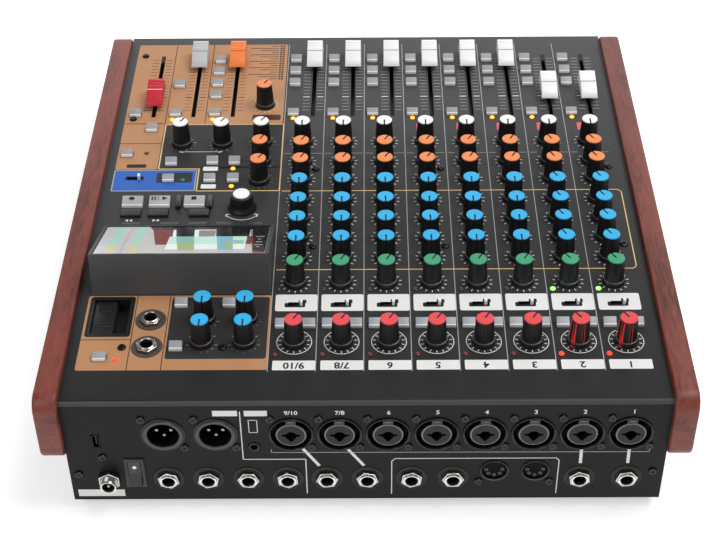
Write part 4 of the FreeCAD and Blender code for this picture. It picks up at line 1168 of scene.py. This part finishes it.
# Jog dial's arc with its two arrows, the transport's small arrows, and bars in place of a table of words
jogArc = {"inner": 11.3, "outer": 11.7, "half": 56}
arc("white", jogSpot.x, jogSpot.y, jogArc["inner"], jogArc["outer"], jogArc["half"])
for side in (-1, 1):
    angle, radius = math.radians(jogArc["half"] * side), (jogArc["inner"] + jogArc["outer"]) / 2
    x, y = jogSpot.x + radius * math.sin(angle), jogSpot.y + radius * math.cos(angle)
    line("white", x - 0.5 * side, y + 0.9, 0.55, 2.4, 0, 2)
    line("white", x - 1.1 * side, y - 0.2, 0.55, 2.6, 78 * side, 2)
for x, turn in ((139.2, -90), (123.5, 90)):
    for shift in (-1.25, 1.25):
        arrow = moved(rod(3, 1.25, 0, film["step"]), about(turn))
        printing["white"].append(painted(moved(arrow, onDeck(x + shift, 199.5, film["overlap"])), ink["white"]))
bars = {"count": 16, "first": 10.6, "step": 2.65, "left": 58.8, "short": 5, "more": 7}
for i in range(bars["count"]):
    y, width = bars["first"] + bars["step"] * i, bars["short"] + bars["more"] * (i * 5 % 3)
    for x in (55.4, 57.2):
        line("soot", x, y, 1.4, 1.7)
    line("brown", bars["left"] + width / 2, y, width, 0.7)
print("deck print finished")

# Rear panel's print
for name, x in zip(names, strips):
    numeral(name, onRear(x - 0.3, -7.6, layer(1) + film["overlap"]), 4, "white", 0.08)
for shade, width, points in (
        ("white", 0.55, [(65.3, -6.6), (65.3, -42.5), (32.1, -42.5), (32.1, -69.4)]),
        ("grey", 0.4, [(50.1, -35), (50.1, -37.2), (-149.8, -37.7), (-149.8, -32.5)]),
        ("white", 0.5, [(-13.6, -70), (-13.6, -44.4), (-15.4, -42.3), (-101, -42.3), (-102.6, -44.2), (-102.6, -70)]),
        ("white", 0.4, [(61.1, -12.7), (61.1, -21.9), (56.7, -21.9), (56.7, -12.7), (61.1, -12.7)]),
        ("white", 1.7, [(33.1, -34.8), (25.4, -47)]), ("white", 1.7, [(9.1, -35.6), (1.6, -47)]),
        ("white", 1.7, [(-113.8, -36), (-114, -45.6)]), ("white", 1.7, [(-139, -36), (-139.2, -45.6)])):
    path(shade, points, width, 1, onRear)
for x, z, width, height in ((73, -7.6, 12.9, 4), (57.1, -7.7, 12, 4), (143.6, -68.6, 25.2, 5.3)):
    line("white", x, z, width, height, panel=onRear)
for name, pieces in printing.items():
    finished(joined(pieces), "case", "print" + name.title())
dropped(tileKind)
print("print finished:", sum(len(pieces) for pieces in printing.values()), "marks")

# Screws of the deck and of the rear panel

screwKind = screwHead()
deckScrews = [(148.3, 22.5), (148.4, 96.2), (130.4, 308.3), (76.5, 308.7), (-148.5, 148.9), (-148.5, 223.5),
              (30.5, 150.3), (-45.8, 150.3), (30.5, 224.4), (-45.8, 224.4), (-117.5, 305)]
rearScrews = [(139.9, -40.3), (154.1, -53.5), (-153.1, -52.6), (-60.3, -60.2), (-98.2, -60.4)]
screws = spread(screwKind, [(x, y, 0, 17 * i) for i, (x, y) in enumerate(deckScrews)])
screws += spread(screwKind, [(x, z, 0, 23 * i) for i, (x, z) in enumerate(rearScrews)], onRear)
finished(joined(screws), "case", "caseScrews")
dropped(screwKind)

# Studio: a pale floor, a pale world, soft lamps, and the camera where the photograph was taken

floor = sheet(40, 40)
floor.name = "studioFloor"
floorPaint = Paint("floorPaint", Roughness=0.6, Emission_Color=(1, 1, 1, 1), Emission_Strength=0.47)
floorPaint.blend(floorPaint.noise(3), (0.90, 0.90, 0.90), (0.93, 0.93, 0.93))
painted(floor, floorPaint.material)

bpy.context.scene.view_settings.view_transform = "Standard"
world = bpy.data.worlds.new("studioWorld")
bpy.context.scene.world = world
world.use_nodes = True
sky = world.node_tree.nodes["Background"].inputs
sky["Color"].default_value, sky["Strength"].default_value = (1, 1, 1, 1), 0.22


def softLamp(name, place, target, width, height, watts):
    data = bpy.data.lights.new(name, "AREA")
    data.shape, data.size, data.size_y, data.energy = "RECTANGLE", width, height, watts
    lamp = bpy.data.objects.new(name, data)
    bpy.context.scene.collection.objects.link(lamp)
    lamp.location = place
    lamp.rotation_euler = (Vector(target) - Vector(place)).to_track_quat("-Z", "Y").to_euler()


softLamp("keyLamp", (-0.7, -0.25, 1.7), (0, 0, 0.05), 1.2, 1.2, 24)
softLamp("fillLamp", (0.8, 0.9, 1.2), (0, 0.05, 0.05), 1.0, 1.0, 7)
softLamp("backdropLamp", (0, -2.0, 0.72), (0, 0, 0.3), 3.2, 1.1, 18)

view = {"place": (-0.0039231, 0.6775001, 0.6960918), "aim": (0.000964, 0.062826, 0.070976), "lens": 76.648,
        "sensor": 36, "roll": -0.6}
camera = bpy.data.cameras.new("photoCamera")
camera.lens, camera.sensor_width, camera.clip_start = view["lens"], view["sensor"], 0.01
shot = bpy.data.objects.new("photoCamera", camera)
bpy.context.scene.collection.objects.link(shot)
away = Vector(view["aim"]) - Vector(view["place"])
turn = away.to_track_quat("-Z", "Y").to_matrix().to_4x4() @ about(view["roll"])
shot.matrix_world = Matrix.Translation(view["place"]) @ turn
bpy.context.scene.camera = shot
